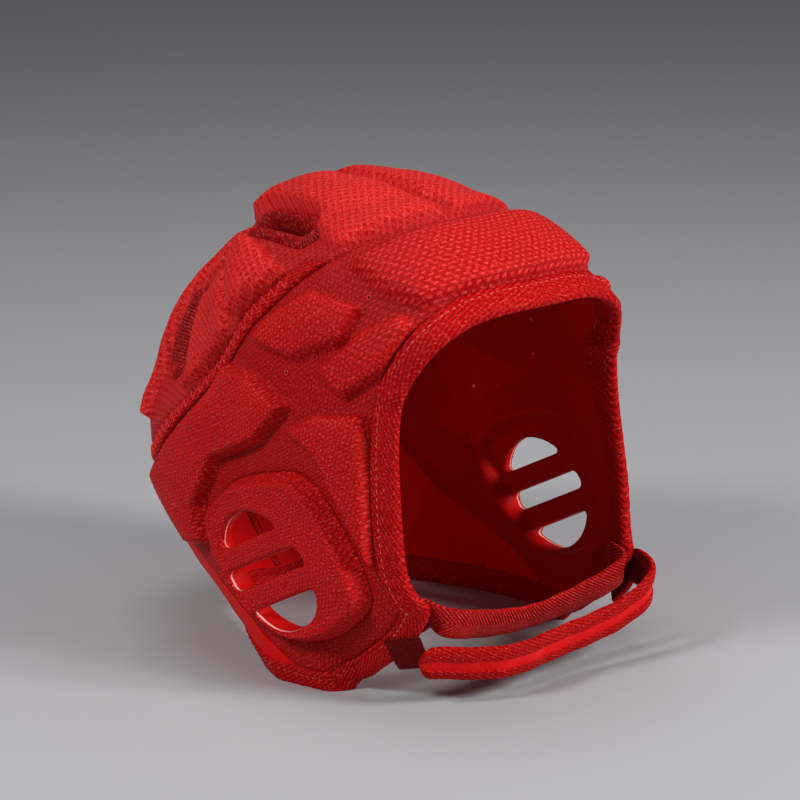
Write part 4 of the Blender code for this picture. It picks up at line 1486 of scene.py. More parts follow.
@dataclass
class Nape:
    """The smooth stretch panel behind the head, with its seam down the middle."""

    outer: float = 1.5
    inner: float = -3.0
    lap: float = 0.9
    step: float = 1.2
    seam_overlap: float = 0.1
    azimuths: tuple[float, float] = (40.0, 320.0)
    valley: float = 0.8
    valley_spread: float = 1.6
    lining_valley_share: float = 0.5
    unevenness: tuple[float, float] = (0.35, 0.3)
    seam_width: float = 4.0
    seam_height: float = 0.7
    seam_sunk: float = 0.15
    seam_margin: float = 1.5
    seam_points: int = 40

    def keep(self, azimuth: Array, elevation: Array) -> Array:
        """Where the nape panel is."""
        edge = LAYOUT.edge_depth(azimuth, elevation) - BINDINGS.width + self.lap
        margin = np.minimum(LAYOUT.below_crown(azimuth, elevation), edge)
        return np.minimum(margin, LAYOUT.behind_nape_seam(azimuth, elevation) + self.seam_overlap)

    def build(self) -> None:
        """Makes the nape panel and the covering of its middle seam."""
        patch = Cutter(self.keep, self.step).cut(self.azimuths, (CHART_FOOT, CHART_TOP))
        azimuth, elevation = patch.azimuth, patch.elevation
        valley = self.valley * bell(azimuth - BACK, self.valley_spread)
        outside, inside = (undulation(azimuth, elevation, size) for size in self.unevenness)
        outer = self.outer + outside - valley
        inner = self.inner + inside + self.lining_valley_share * valley
        place = np.stack([azimuth * FORM.mm_per_azimuth, elevation * FORM.mm_per_elevation], axis=-1)
        piece = Shell(patch, outer, inner, place).piece("nape_cover", (NAPE_CLOTH, NAPE_CLOTH, LINING))
        piece.make("nape_stretch_cloth", ["nape_panel"], fill=0.5)
        above_rim = (BINDINGS.width + self.seam_margin) / FORM.mm_per_elevation
        floor = float(FORM.floor_elevation(np.array([BACK]))[0]) + above_rim
        elevation = np.linspace(floor, CROWN_SEAM[-1][1] - self.seam_margin, self.seam_points)
        line = np.stack([np.full_like(elevation, BACK), elevation], axis=-1)
        heights = (self.inner - self.seam_sunk, self.inner - self.seam_height)
        Strip(line, self.seam_width, heights).piece("nape_middle_seam", TAPE_TWILL).make("binding_twill")


@dataclass
class Strip:
    """A low strip of tape along a line of the chart."""

    line: Array
    width: float
    heights: tuple[float, float]
    across: int = 7
    edge_drop: float = 0.9
    plane: tuple[float, float] = (FORM.mm_per_azimuth, FORM.mm_per_elevation)

    def piece(self, name: str, cloth: Cloth) -> Piece:
        """The strip as a piece.

        Args:
            name: Its name.
            cloth: Its cloth.

        Returns:
            The piece, not yet made.
        """
        flat = self.line * np.array(self.plane)
        along = np.gradient(flat, axis=0)
        along /= np.linalg.norm(along, axis=1, keepdims=True)
        beside = np.stack([-along[:, 1], along[:, 0]], axis=-1)
        run = run_along(flat)
        offsets = np.linspace(-0.5, 0.5, self.across)
        low, high = self.heights
        bulge = low + (high - low) * np.sqrt(np.clip(1.0 - (2.0 * offsets) ** 2 * self.edge_drop, 0.0, 1.0))
        rings, places = [], []
        under = zip(offsets[::-1], np.full(self.across, low))
        for offset, height in [*zip(offsets, bulge), *under]:
            chart = (flat + beside * (offset * self.width)) / np.array(self.plane)
            rings.append(FORM.over(chart[:, 0], chart[:, 1], np.full(len(chart), height)))
            places.append(np.stack([run, np.full(len(run), offset * self.width)], axis=-1))
        sweep = Sweep(np.stack(rings, axis=1), np.stack(places, axis=1), high < low)
        return sweep.piece(name, [cloth])


@dataclass
class Sweep:
    """A closed run of sections with matching points."""

    sections: Array
    places: Array
    flipped: bool = False
    closed: bool = False

    def piece(
        self,
        name: str,
        cloths: Sequence[Cloth],
        slots: Sequence[int] | None = None,
        sharp: float = SHARP_DEGREES,
    ) -> Piece:
        """The run as a piece, with end caps if it is open.

        Args:
            name: Its name.
            cloths: Its cloths.
            slots: Cloth number of each side of a section, or nothing for the first throughout.
            sharp: Angle in degrees past which an edge is drawn sharp.

        Returns:
            The piece, not yet made.
        """
        count, sides = self.sections.shape[:2]
        faces, chosen = [], []
        for i in range(count if self.closed else count - 1):
            here, there = i * sides, (i + 1) % count * sides
            for k in range(sides):
                after = (k + 1) % sides
                faces.append([here + k, here + after, there + after, there + k])
                chosen.append(0 if slots is None else slots[k])
        if not self.closed:
            faces += [list(range(sides))[::-1], [(count - 1) * sides + k for k in range(sides)]]
            chosen += [0, 0]
        if self.flipped:
            faces = [face[::-1] for face in faces]
        points, places = self.sections.reshape(-1, 3), self.places.reshape(-1, 2)
        return Piece(name, points, faces, cloths, chosen, places, sharp=sharp)


CROWN_PADS = (
    (((-1.5, -44.0), (-26.0, -35.5), (-20.5, -23.0), (-11.5, 3.0), (-1.5, 5.0)), 10.5),
    (((-34.0, -29.0), (-44.5, -11.0), (-27.0, -3.0), (-22.5, -8.0)), 8.5),
    (((-45.0, -7.5), (-48.0, 21.0), (-29.0, 9.0), (-26.0, -0.5)), 6.5),
    (((-38.0, 44.0), (-4.0, 68.0), (-1.5, 12.0), (-14.0, 9.5), (-24.0, 23.0)), 6.0),
)
OPENINGS = {
    "front": (((-22.0, -26.0), (-15.5, -1.5)), 19.5),
    "rear": (((-38.5, 29.5), (-23.5, 14.5)), 18.0),
}


def opening_ring(ends: Rows, width: float, inset: float = 0.0, count: int = 24) -> Array:
    """A round-ended slot in the crown plane.

    Args:
        ends: The slot's ends, in degrees from the top.
        width: Its width in millimetres.
        inset: How far inside its edge the ring runs.
        count: Points in each round end and each straight side.

    Returns:
        The ring's points.
    """
    first, last = np.asarray(ends) * FORM.mm_per_crown_degree
    along = (last - first) / np.linalg.norm(last - first)
    across = np.array([-along[1], along[0]])
    radius = width / 2
    ring = []
    for centre, start in ((last - along * radius, -90.0), (first + along * radius, 90.0)):
        turns = np.radians(np.linspace(start, start + 180.0, count))
        arc = np.cos(turns)[:, None] * along + np.sin(turns)[:, None] * across
        ring.append(centre + (radius - inset) * arc)
    sides = []
    for arc, after in ((ring[0], ring[1]), (ring[1], ring[0])):
        share = (np.arange(1, count) / count)[:, None]
        sides += [arc, arc[-1] + (after[0] - arc[-1]) * share]
    return np.vstack(sides)


@dataclass
class Crown:
    """The open crown: pads over the top of the head, its seam tape and its four vents."""

    groove: float = 2.0
    inner: float = -3.5
    pad_edge: float = 4.2
    groove_depth: float = 3.0
    seam_gap: float = -0.1
    seam_drop: float = 1.6
    seam_roll: float = 2.0
    near_seam: float = 5.0
    unevenness: float = 0.25
    unevenness_turns: float = 2.0
    front_low: float = 0.35
    front_span: tuple[float, float] = (-95.0, -25.0)
    tape_width: float = 8.0
    tape_azimuths: tuple[float, float] = (38.0, 48.0)
    tape_tip: float = 3.0
    tape_outer: float = 2.5
    tape_inner: float = -3.0
    tape_bulge: float = 0.25
    tape_edge: float = 0.9
    tape_edge_drop: float = 0.7
    tape_lap: float = 0.35
    tape_rows: int = 9
    tape_points: int = 300
    tape_mm_per_azimuth: float = 1.5
    step: float = 0.72
    across: tuple[float, float] = (-53.0, 53.0)
    along: tuple[float, float] = (-50.0, 76.0)
    opening_points: int = 8
    pads: list[tuple[Array, float]] = field(init=False)
    rings: list[Array] = field(init=False)

    def __post_init__(self) -> None:
        """Places pads and openings in the crown plane."""
        self.pads = [(np.asarray(rows) * FORM.mm_per_crown_degree, rise) for rows, rise in CROWN_PADS]
        self.rings = [
            opening_ring(ends, width, count=self.opening_points) for ends, width in OPENINGS.values()
        ]

    def tape_reach(self, azimuth: Array) -> Array:
        """Width of the tape, which runs out beside the front vents."""
        start, full = self.tape_azimuths
        return self.tape_width * smooth_step((np.abs(wrapped(azimuth)) - start) / (full - start))

    def keep(self, azimuth: Array, elevation: Array) -> Array:
        """Where the crown is: above the seam and its tape, outside the vents."""
        points = FORM.crown_plane(azimuth, elevation)
        margin = -LAYOUT.below_crown(azimuth, elevation) - self.tape_reach(azimuth) - self.seam_gap
        for ring in self.rings:
            margin = np.minimum(margin, -depth_inside(points, ring))
        return margin

    def keep_flat(self, x: Array, y: Array) -> Array:
        """Where the crown is, in crown-plane degrees."""
        chart = FORM.crown_chart(np.stack([x, y], axis=-1))
        return self.keep(chart[:, 0], chart[:, 1])

    def build_cover(self) -> None:
        """Makes the padded crown."""
        patch = Cutter(self.keep_flat, self.step).cut(self.across, self.along)
        flat = patch.chart
        patch = Patch(FORM.crown_chart(flat), patch.faces)
        azimuth, elevation = patch.azimuth, patch.elevation
        points = FORM.crown_plane(azimuth, elevation)
        margin = self.keep(azimuth, elevation)
        rolled = self.seam_drop * (1.0 - smooth_step(margin / self.seam_roll))
        seam = -LAYOUT.below_crown(azimuth, elevation) - self.tape_reach(azimuth)
        first, last = self.front_span
        behind = smooth_step((points[:, 1] - first) / (last - first))
        front = self.front_low + (1.0 - self.front_low) * behind
        raised = pads_raised(points, self.pads, self.pad_edge) * front * smooth_step(seam / self.near_seam)
        turned = flat * self.unevenness_turns
        outer = self.groove + raised - rolled + undulation(turned[:, 0], turned[:, 1], self.unevenness)
        inner = np.full_like(outer, self.inner)
        # Share of groove between the pads, which the material darkens as painted shade.
        groove = 1.0 - smooth_step(raised / self.groove_depth)
        place = np.column_stack([flat * FORM.mm_per_crown_degree, groove])
        piece = Shell(patch, outer, inner, place).piece("crown_cover", (CROWN_KNIT, LINING, CROWN_KNIT))
        piece.make("crown_knit", ["crown_panel"], fill=0.8)

    def tape_chart(self, share: float, azimuth: Array) -> Array:
        """Chart points along the tape, at a share of its width from the seam."""
        up = (self.tape_lap + share * (self.tape_reach(azimuth) - self.tape_lap)) / FORM.mm_per_elevation
        return np.stack([azimuth, LAYOUT.seam_elevation(azimuth) + up], axis=-1)

    def build_tape(self) -> None:
        """Makes the tape over the seam, from one front vent round the back to the other."""
        first = self.tape_azimuths[0] + self.tape_tip
        azimuth = np.linspace(first, 2.0 * BACK - first, self.tape_points)
        rings, places = [], []
        shares = np.linspace(0.0, 1.0, self.tape_rows)
        edge = np.abs(2.0 * shares - 1.0) > self.tape_edge
        bulge = self.tape_outer + self.tape_bulge * np.sin(np.pi * shares) - self.tape_edge_drop * edge
        under = zip(shares[::-1], np.full(self.tape_rows, self.tape_inner))
        for share, height in [*zip(shares, bulge), *under]:
            chart = self.tape_chart(share, azimuth)
            rings.append(FORM.over(chart[:, 0], chart[:, 1], np.full(len(chart), height)))
            along = azimuth * self.tape_mm_per_azimuth
            places.append(np.stack([along, share * self.tape_reach(azimuth)], axis=-1))
        sweep = Sweep(np.stack(rings, axis=1), np.stack(places, axis=1), True)
        sweep.piece("crown_tape_cloth", [TAPE_TWILL]).make("binding_twill", ["crown_tape"])

    def build(self) -> None:
        """Makes cover, tape and vents."""
        self.build_cover()
        self.build_tape()
        Vents().build()


@dataclass
class Vents:
    """Ribbed elastic gathered round each crown opening, drawn down into it."""

    ribs_pitch: float = 1.7
    rib_height: float = 0.32
    rib_floor: float = 0.35
    sections: int = 340
    wall: float = 1.0
    wall_inset: float = 0.55
    glance: float = 0.5
    depth_mm: float = 9.0
    drawn_reach: float = 1.25
    drawn_power: float = 1.5
    sharp: float = 80.0
    profile: Rows = (
        (-0.6, 1.6),
        (0.9, 3.1),
        (2.4, 3.9),
        (3.7, 3.2),
        (4.5, 1.2),
        (5.0, -1.4),
        (5.8, -4.4),
    )
    drawn_in: float = 3.4

    def ring_at(self, ends: Rows, width: float, inset: Array, turns: Array) -> Array:
        """Points of the opening's ring, each at its own inset."""
        edge = opening_ring(ends, width)
        loop = np.vstack([edge, edge[:1]])
        run = run_along(loop)
        at = turns * run[-1]
        points = points_at(at, run, loop)
        ahead = points_at((at + self.glance) % run[-1], run, loop)
        along = ahead - points_at((at - self.glance) % run[-1], run, loop)
        along /= np.linalg.norm(along, axis=1, keepdims=True)
        return points + np.stack([-along[:, 1], along[:, 0]], axis=-1) * inset[:, None]

    def build_one(self, word: str, side_word: str, side: float) -> None:
        """Makes the elastic of one opening.

        Args:
            word: front or rear.
            side_word: right or left.
            side: Sign of the crown plane's x on that side, over the right half's.
        """
        ends, width = OPENINGS[word]
        turns = np.arange(self.sections) / self.sections
        edge = opening_ring(ends, width)
        length = np.linalg.norm(edge - np.roll(edge, 1, axis=0), axis=1).sum()
        count = round(length / self.ribs_pitch)
        ribs = self.rib_height * np.sin(2.0 * np.pi * count * turns)
        first, last = np.asarray(ends) * FORM.mm_per_crown_degree
        along = (last - first) / np.linalg.norm(last - first)
        here = self.ring_at(ends, width, np.zeros(self.sections), turns)
        share = 1.0 - smooth_step(((here - first) @ along) / np.linalg.norm(last - first) * self.drawn_reach)
        rings, places = [], []
        rows = np.asarray(self.profile)
        back = (rows - [self.wall_inset * self.wall, self.wall])[::-1]
        last_row = len(rows) - 1
        for k, (inset, height) in enumerate(np.vstack([rows, back])):
            front_side = k < len(rows)
            deep = (k if front_side else 2 * len(rows) - 1 - k) / last_row
            reach = inset + self.drawn_in * share * deep**self.drawn_power
            swell = self.rib_floor + (1.0 - self.rib_floor) * np.sin(np.pi * deep)
            raised = height + (ribs if front_side else 0.0) * swell
            flat = self.ring_at(ends, width, reach + 0.0 * turns, turns) / FORM.mm_per_crown_degree
            chart = FORM.crown_chart(flat * [side, 1.0])
            rings.append(FORM.over(chart[:, 0], chart[:, 1], raised + 0.0 * turns))
            across = np.full(self.sections, deep * self.depth_mm)
            places.append(np.stack([turns * count * RIB_ELASTIC.pitch, across], axis=-1))
        sweep = Sweep(np.stack(rings, axis=1), np.stack(places, axis=1), side < 0, closed=True)
        piece = sweep.piece(f"vent_elastic_{word}_{side_word}", [RIB_ELASTIC], sharp=self.sharp)
        piece.make("ribbed_elastic", [f"crown_opening_trim_{word}_{side_word}"])

    def build(self) -> None:
        """Makes the elastic of all four openings."""
        for word in OPENINGS:
            self.build_one(word, "right", 1.0)
            self.build_one(word, "left", -1.0)


@dataclass
class ChinStraps:
    """The bound band sewn inside both jaws, the closing strap outside it, and its pile patch."""

    band_width: float = 14.0
    band_thickness: float = 2.6
    band_height: float = -6.9
    band_sewn: Rows = ((57.0, -40.5), (50.0, -39.5), (45.5, -38.0))
    band_run: Rows = (
        (-52.0, -77.0, -22.0, -10.0),
        (0.0, -73.0, -31.0, -25.0),
        (52.0, -77.0, -22.0, -10.0),
    )
    strap_width: float = 16.0
    strap_thickness: float = 3.0
    strap_lap_height: float = 7.9
    strap_sewn_height: float = 6.3
    strap_lap: Rows = ((49.0, -46.0),)
    strap_run: Rows = (
        (-32.0, -87.0, -42.0, -10.0),
        (5.0, -85.0, -42.0, -10.0),
        (42.0, -89.0, -36.0, -10.0),
        (64.0, -88.0, -27.0, -5.0),
    )
    strap_sewn: Rows = ((59.0, -45.0), (52.0, -42.0), (46.0, -39.0))
    band_section: Rows = (
        (0.5, 0.30),
        (0.5, -0.30),
        (0.44, -0.48),
        (0.2, -0.52),
        (-0.2, -0.52),
        (-0.44, -0.48),
        (-0.5, -0.30),
        (-0.5, 0.30),
        (-0.44, 0.5),
        (-0.25, 0.58),
        (0.0, 0.50),
        (0.25, 0.58),
        (0.44, 0.5),
    )
    strap_section: Rows = (
        (0.5, 0.28),
        (0.5, -0.28),
        (0.44, -0.46),
        (-0.44, -0.46),
        (-0.5, -0.28),
        (-0.5, 0.28),
        (-0.45, 0.46),
        (-0.24, 0.52),
        (-0.215, 0.28),
        (-0.06, 0.36),
        (0.09, 0.30),
        (0.115, 0.54),
        (0.3, 0.60),
        (0.45, 0.46),
    )
    satin_sides: tuple[int, ...] = (8, 9)
    pile_side: int = 2
    points_each: int = 22
    lap_end: float = 7.0
    least_end: float = 0.03
    wave: float = 0.25
    wave_turns: float = 0.35
    strap_sharp: float = 40.0
    patch_azimuths: tuple[float, float] = (47.0, 58.0)
    patch_elevation: float = -45.0
    patch_width: float = 16.4
    patch_heights: tuple[float, float] = (3.55, 4.8)
    patch_points: tuple[int, int] = (24, 11)

    def on_cheek(self, side: float, rows: Rows, height: float) -> Run:
        """Points and upward directions on a cheek.

        Args:
            side: -1 for the right cheek, 1 for the left.
            rows: Azimuths and elevations.
            height: Millimetres over the form.

        Returns:
            The points and the unit directions.
        """
        table = np.asarray(rows, float)
        level = np.full(len(table), height)
        points = FORM.over(side * table[:, 0], table[:, 1], level)
        above = FORM.over(side * table[:, 0], table[:, 1] + 1.0, level) - points
        return points, above / np.linalg.norm(above, axis=1, keepdims=True)

    def between_jaws(self, rows: Rows) -> Run:
        """Points and upward directions of a free run, from x, y, level and lean rows."""
        table = np.asarray(rows, float)
        lean = np.radians(table[:, 3])
        upward = np.stack([0.0 * lean, np.sin(lean), np.cos(lean)], axis=-1)
        return FORM.head_frame(table[:, :3]), FORM.head_frame(upward)

    def path(self, right: Run, between: Run, left: Run) -> Run:
        """The smooth line of a strap and its upward directions, from right cheek to left."""
        rows = zip(right, between, left)
        points, upward = (
            smooth_curve(np.vstack([first, middle, last[::-1]]), self.points_each, False)
            for first, middle, last in rows
        )
        return points, upward

    def ribbon(self, path: Run, section: Rows, width: float, thickness: float, end: float) -> Sweep:
        """A flat strap along a path.

        Args:
            path: Points and upward directions.
            section: Shares of width and thickness round the strap.
            width: Full width.
            thickness: Full thickness.
            end: Length over which its first end rounds off.

        Returns:
            The sweep.
        """
        line, upward = path
        along = np.gradient(line, axis=0)
        along /= np.linalg.norm(along, axis=1, keepdims=True)
        up = upward - along * (upward * along).sum(axis=1, keepdims=True)
        up /= np.linalg.norm(up, axis=1, keepdims=True)
        out = np.cross(along, up)
        run = run_along(line)
        shrink = np.ones(len(run))
        for away, reach in ((run, end), (run[-1] - run, 0.0)):
            flat = 1.0 - np.clip(away / max(reach, 1e-6), 0, 1)
            shrink *= np.sqrt(np.clip(1.0 - flat**2, self.least_end, 1.0))
        wave = self.wave * np.sin(run * self.wave_turns)
        rings, places = [], []
        for a, b in section:
            rings.append(line + up * (a * width * shrink)[:, None] + out * (b * thickness + wave)[:, None])
            places.append(np.stack([run, np.full(len(run), a * width)], axis=-1))
        return Sweep(np.stack(rings, axis=1), np.stack(places, axis=1), True)

    def build(self) -> None:
        """Makes band, strap and patch."""
        right = self.on_cheek(-1.0, self.band_sewn, self.band_height)
        left = self.on_cheek(1.0, self.band_sewn, self.band_height)
        path = self.path(right, self.between_jaws(self.band_run), left)
        band = self.ribbon(path, self.band_section, self.band_width, self.band_thickness, 0.0)
        band.piece("chin_band_webbing", [CHEVRON_TAPE]).make("strap_satin", ["chin_band"])
        right = self.on_cheek(-1.0, self.strap_lap, self.strap_lap_height)
        left = self.on_cheek(1.0, self.strap_sewn, self.strap_sewn_height)
        path = self.path(right, self.between_jaws(self.strap_run), left)
        strap = self.ribbon(path, self.strap_section, self.strap_width, self.strap_thickness, self.lap_end)
        slots = [1 if k in self.satin_sides else 0 for k in range(len(self.strap_section))]
        slots[self.pile_side] = 2
        cloths = [TAPE_TWILL, STRAP_SATIN, PILE_CLOTH]
        piece = strap.piece("chin_strap_webbing", cloths, slots, sharp=self.strap_sharp)
        piece.make("strap_satin", ["chin_strap"])
        along, across = self.patch_points
        azimuth = -np.linspace(*self.patch_azimuths, along)
        line = np.stack([azimuth, np.full_like(azimuth, self.patch_elevation)], axis=-1)
        patch = Strip(line, self.patch_width, self.patch_heights, across=across)
        patch.piece("closure_pile_patch", PILE_CLOTH).make("binding_twill", ["closure_patch"])


@dataclass
class Stitches:
    """Raised thread stitches on the shell."""

    radius: float = 0.28
    lift: float = 0.25
    rounds: int = 5
    sides: int = 6
    sink: float = 0.12
    end_share: float = 0.45
    sewn_share: float = 0.68
    thread_mm: float = 0.37
    edge_points: int = 160
    running_pitch: float = 3.4
    running_height: float = 2.75
    brow_end: float = 205.0
    rim_start: float = 240.0
    rim_gap: float = 2.0
    zigzag_azimuths: tuple[float, float] = (52.0, 308.0)
    zigzag_points: int = 400
    zigzag_shares: tuple[float, float] = (0.16, 0.9)
    zigzag_pitch: float = 3.0
    zigzag_lift: float = 0.3

    def piece(self, name: str, starts: Array, ends: Array, normals: Array, cloth: Cloth) -> Piece:
        """Stitches as one piece.

        Args:
            name: Its name.
            starts: Where each stitch leaves the cloth.
            ends: Where each enters it again.
            normals: Outward directions.
            cloth: The thread.

        Returns:
            The piece, not yet made.
        """
        count = len(starts)
        along = ends - starts
        length = np.linalg.norm(along, axis=1, keepdims=True)
        side = np.cross(normals, along / length)
        side /= np.linalg.norm(side, axis=1, keepdims=True)
        rings = []
        for t in np.linspace(0.0, 1.0, self.rounds):
            bow = np.sin(np.pi * t)
            centre = starts + along * t + normals * (self.lift * bow - self.sink)
            thick = self.radius * (self.end_share + (1.0 - self.end_share) * bow)
            for turn in np.arange(self.sides) * 2.0 * np.pi / self.sides:
                rings.append(centre + side * (thick * np.cos(turn)) + normals * (thick * np.sin(turn)))
        each = self.rounds * self.sides
        points = np.stack(rings, axis=1).reshape(-1, 3)
        faces = []
        for i in range(self.rounds - 1):
            for k in range(self.sides):
                after = (k + 1) % self.sides
                a, b = i * self.sides, (i + 1) * self.sides
                faces.append([a + k, b + k, b + after, a + after])
        caps = [list(range(self.sides)), [each - self.sides + k for k in range(self.sides)][::-1]]
        whole = [[k + n * each for k in face] for n in range(count) for face in faces + caps]
        place = np.stack([np.arange(len(points)) * self.thread_mm, np.zeros(len(points))], axis=-1)
        return Piece(name, points, whole, [cloth], [0] * len(whole), place)

    def spaced(self, chart: Array, pitch: float, height: float) -> tuple[Array, Array]:
        """Evenly spaced points along a chart line.

        Args:
            chart: The line's azimuths and elevations.
            pitch: Millimetres between points.
            height: Millimetres over the form.

        Returns:
            The points and the form's normals there.
        """
        points = FORM.over(chart[:, 0], chart[:, 1], np.full(len(chart), height))
        run = run_along(points)
        at = np.linspace(0.0, run[-1], int(run[-1] / pitch) + 1)
        fine = points_at(at, run, chart)
        _, normal = FORM.surface(fine[:, 0], fine[:, 1])
        return FORM.over(fine[:, 0], fine[:, 1], np.full(len(fine), height)), normal

    def running(self, name: str, chart: Array, pitch: float, height: float, cloth: Cloth, slot: str) -> None:
        """A dashed line of stitches along a chart line.

        Args:
            name: The piece's name.
            chart: The line's azimuths and elevations.
            pitch: Stitch length with its gap.
            height: Millimetres over the form.
            cloth: The thread.
            slot: The record's slot.
        """
        points, normals = self.spaced(chart, pitch, height)
        ends = points[:-1] + (points[1:] - points[:-1]) * self.sewn_share
        self.piece(name, points[:-1], ends, normals[:-1], cloth).make(slot)

    def zigzag(self, name: str, low: Array, high: Array, pitch: float, height: float, cloth: Cloth) -> None:
        """A zigzag between two chart lines.

        Args:
            name: The piece's name.
            low: The lower line.
            high: The upper line.
            pitch: Half a zigzag's length.
            height: Millimetres over the form.
            cloth: The thread.
        """
        points = FORM.over(low[:, 0], low[:, 1], np.full(len(low), height))
        run = run_along(points)
        at = np.linspace(0.0, run[-1], int(run[-1] / pitch) + 1)
        upper = (np.arange(len(at)) % 2)[:, None]
        chart = points_at(at, run, low) * (1 - upper) + points_at(at, run, high) * upper
        corners = FORM.over(chart[:, 0], chart[:, 1], np.full(len(chart), height))
        _, normals = FORM.surface(chart[:, 0], chart[:, 1])
        self.piece(name, corners[:-1], corners[1:], normals[:-1], cloth).make("binding_twill")

    def edge_line(self, inset: float, first: float, last: float) -> Array:
        """Chart points at an inset from the free edge, between two lengths from mid brow."""
        edge = LAYOUT.edge
        points = points_at(np.linspace(first, last, self.edge_points), run_along(edge), edge)
        along = np.gradient(points, axis=0)
        along /= np.linalg.norm(along, axis=1, keepdims=True)
        inward = np.stack([-along[:, 1], along[:, 0]], axis=-1)
        moved = points + inward * inset
        return moved / np.array([FORM.mm_per_azimuth, FORM.mm_per_elevation])

    def build(self) -> None:
        """Makes every line of stitches."""
        azimuth = np.linspace(*self.zigzag_azimuths, self.zigzag_points)
        crown = Crown()
        low, high = (crown.tape_chart(share, azimuth) for share in self.zigzag_shares)
        height = crown.tape_outer + self.zigzag_lift
        self.zigzag("crown_tape_zigzag", low, high, self.zigzag_pitch, height, THREAD)
        inset, pitch, height = BINDINGS.stitch_line, self.running_pitch, self.running_height
        for word, side in SIDES:
            face = self.edge_line(inset, 0.0, self.brow_end) * [side, 1.0]
            self.running(f"brow_stitches_{word}", face, pitch, height, PALE_THREAD, "binding_twill")
            rim = self.edge_line(inset, self.rim_start, LAYOUT.half_length - self.rim_gap) * [side, 1.0]
            self.running(f"rim_stitches_{word}", rim, pitch, height, THREAD, "binding_twill")


@dataclass
class Eyelets:
    """Small sewn breathing holes in the grooves of the front panel, each hole a disc of painted shade
    outside and of painted light inside.
    """

    places: Rows = ((32.5, 33.5), (60.0, 30.0), (99.5, 22.0), (66.5, 22.5))
    ring: float = 0.95
    thread: float = 0.35
    height: float = 2.2
    inner_height: float = -3.55
    around: int = 14
    tube: int = 7
    thread_mm: float = 0.31

    def rings(self, side: float, height: float, facing: float) -> tuple[Array, list[list[int]], list[int]]:
        """Sewn rings on one face of the panel, each with a disc in its middle.

        Args:
            side: -1 for the right, 1 for the left.
            height: Millimetres over the form.
            facing: 1 outside, -1 inside.

        Returns:
            Points, faces and the cloth number of each face.
        """
        points, faces, slots = [], [], []
        round_steps = np.arange(self.around) * 2.0 * np.pi / self.around
        tube_steps = np.arange(self.tube) * 2.0 * np.pi / self.tube
        for azimuth, elevation in self.places:
            spot = np.array([side * azimuth]), np.array([elevation])
            normal = FORM.surface(*spot)[1][0] * facing
            centre = FORM.over(*spot, np.array([height]))[0]
            beside = np.cross(normal, [0.0, 0.0, 1.0])
            beside /= np.linalg.norm(beside)
            above = np.cross(beside, normal)
            base = len(points)
            outward = [beside * np.cos(a) + above * np.sin(a) for a in round_steps]
            for out in outward:
                points += [
                    centre + out * (self.ring + self.thread * np.cos(b)) + normal * (self.thread * np.sin(b))
                    for b in tube_steps
                ]
            for i in range(self.around):
                for k in range(self.tube):
                    ahead, after = (i + 1) % self.around * self.tube, (k + 1) % self.tube
                    here = i * self.tube
                    near, far = base + here, base + ahead
                    faces.append([near + k, far + k, far + after, near + after])
                    slots.append(0)
            middle = len(points)
            points += [centre + out * self.ring for out in outward]
            faces.append([middle + k for k in range(self.around)][::-1])
            slots.append(1)
        return np.array(points), faces, slots

    def build(self) -> None:
        """Makes the sewn rings with their middle discs: painted shade outside, painted light inside."""
        for word, side in SIDES:
            for face, height, facing in (("outer", self.height, 1.0), ("inner", self.inner_height, -1.0)):
                points, faces, slots = self.rings(side, height, facing)
                place = np.stack([np.arange(len(points)) * self.thread_mm, np.zeros(len(points))], axis=-1)
                # The middle disc: painted shade of the hole outside, painted light through it inside.
                middle = HOLE_SHADE if facing > 0 else PAINTED_LIGHT_PINK
                piece = Piece(f"eyelets_{face}_{word}", points, faces, [THREAD, middle], slots, place)
                piece.make("panel_knit")


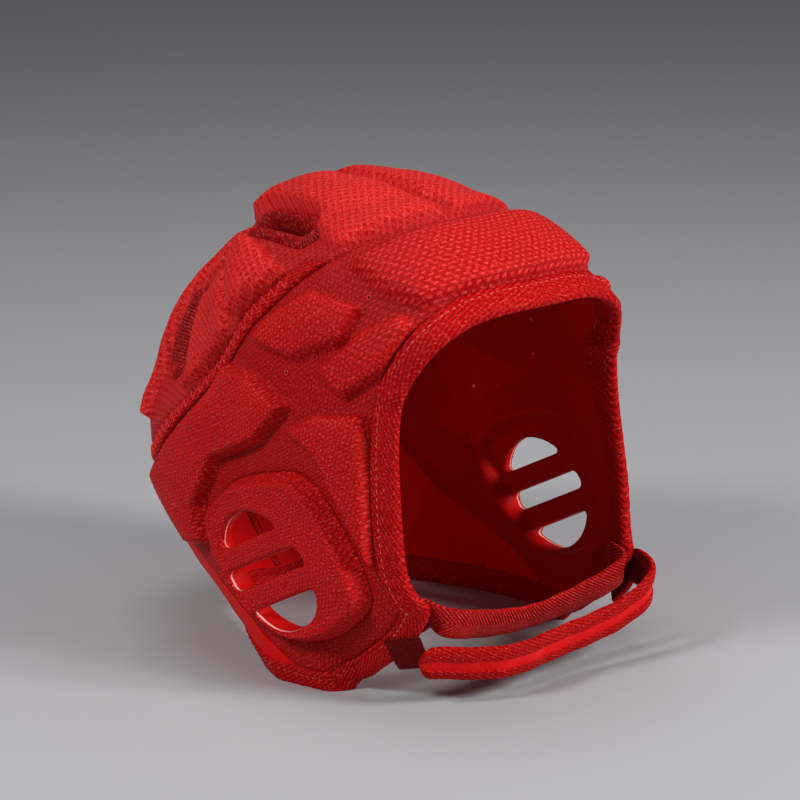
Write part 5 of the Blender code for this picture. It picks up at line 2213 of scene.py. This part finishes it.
@dataclass(frozen=True)
class Studio:
    """A pale floor, soft lights and the camera at the photograph's angle."""

    azimuth: float = float(np.radians(43.0))
    elevation: float = float(np.radians(15.0))
    target: tuple[float, float, float] = (0.0, -0.044863, 0.116985)
    distance: float = 1.5
    aside: float = -0.01875
    above: float = 0.00375
    lens: float = 144.0
    sensor: float = 36.0
    floor_half: float = 6.0
    floor_colour: tuple[float, ...] = (0.42, 0.42, 0.435, 1.0)
    floor_roughness: float = 0.7
    sky_colour: tuple[float, ...] = (0.80, 0.82, 0.86, 1.0)
    sky_strength: float = 0.14
    lights: tuple[tuple[str, tuple[float, float, float], float, float], ...] = (
        ("front_light", (0.55, -1.25, 0.85), 0.45, 21.0),
        ("side_light", (-1.2, 0.1, 1.15), 0.35, 14.0),
        ("top_light", (0.1, 0.35, 1.5), 0.6, 5.0),
    )

    def camera(self) -> None:
        """Sets the camera."""
        turn, lift = self.azimuth, self.elevation
        toward = Vector((-np.sin(turn) * np.cos(lift), -np.cos(turn) * np.cos(lift), np.sin(lift)))
        right = (-toward).cross(Vector((0.0, 0.0, 1.0))).normalized()
        up = right.cross(-toward)
        data = bpy.data.cameras.new("photo_camera")
        data.lens = self.lens
        data.sensor_width = self.sensor
        camera = bpy.data.objects.new("photo_camera", data)
        camera.location = Vector(self.target) + toward * self.distance + right * self.aside + up * self.above
        camera.rotation_euler = (-toward).to_track_quat("-Z", "Y").to_euler()
        bpy.context.scene.collection.objects.link(camera)
        bpy.context.scene.camera = camera

    def light(self, name: str, place: tuple[float, float, float], size: float, watts: float) -> None:
        """A soft square light aimed at the guard.

        Args:
            name: Its name.
            place: Where it hangs.
            size: Its side.
            watts: Its power.
        """
        data = bpy.data.lights.new(name, "AREA")
        data.size = size
        data.energy = watts
        lamp = bpy.data.objects.new(name, data)
        lamp.location = place
        lamp.rotation_euler = (Vector(self.target) - Vector(place)).to_track_quat("-Z", "Y").to_euler()
        bpy.context.scene.collection.objects.link(lamp)

    def floor(self) -> None:
        """Lays the floor."""
        shader = Shader("pale_floor")
        shader.surface.inputs["Base Color"].default_value = self.floor_colour
        shader.surface.inputs["Roughness"].default_value = self.floor_roughness
        half = self.floor_half
        mesh = bpy.data.meshes.new("studio_floor")
        corners = [(-half, -half, 0.0), (half, -half, 0.0), (half, half, 0.0), (-half, half, 0.0)]
        mesh.from_pydata(corners, [], [[0, 1, 2, 3]])
        mesh.materials.append(shader.material)
        floor = bpy.data.objects.new("studio_floor", mesh)
        bpy.context.scene.collection.objects.link(floor)

    def sky(self) -> None:
        """Sets the even light from all round."""
        world = bpy.data.worlds.new("studio_sky")
        world.use_nodes = True
        background = world.node_tree.nodes["Background"]
        background.inputs["Color"].default_value = self.sky_colour
        background.inputs["Strength"].default_value = self.sky_strength
        bpy.context.scene.world = world

    def build(self) -> None:
        """Sets camera, lights, floor and sky."""
        self.camera()
        for name, place, size, watts in self.lights:
            self.light(name, place, size, watts)
        self.floor()
        self.sky()
        bpy.context.scene.view_settings.view_transform = "Standard"


def main() -> None:
    """Builds every sub-assembly in order."""
    logging.basicConfig(level=logging.INFO, format="%(message)s")
    Studio().build()
    FrontPanel().build()
    CUPS.build()
    Nape().build()
    BINDINGS.build()
    Crown().build()
    ChinStraps().build()
    Stitches().build()
    Eyelets().build()


if __name__ == "__main__":
    main()
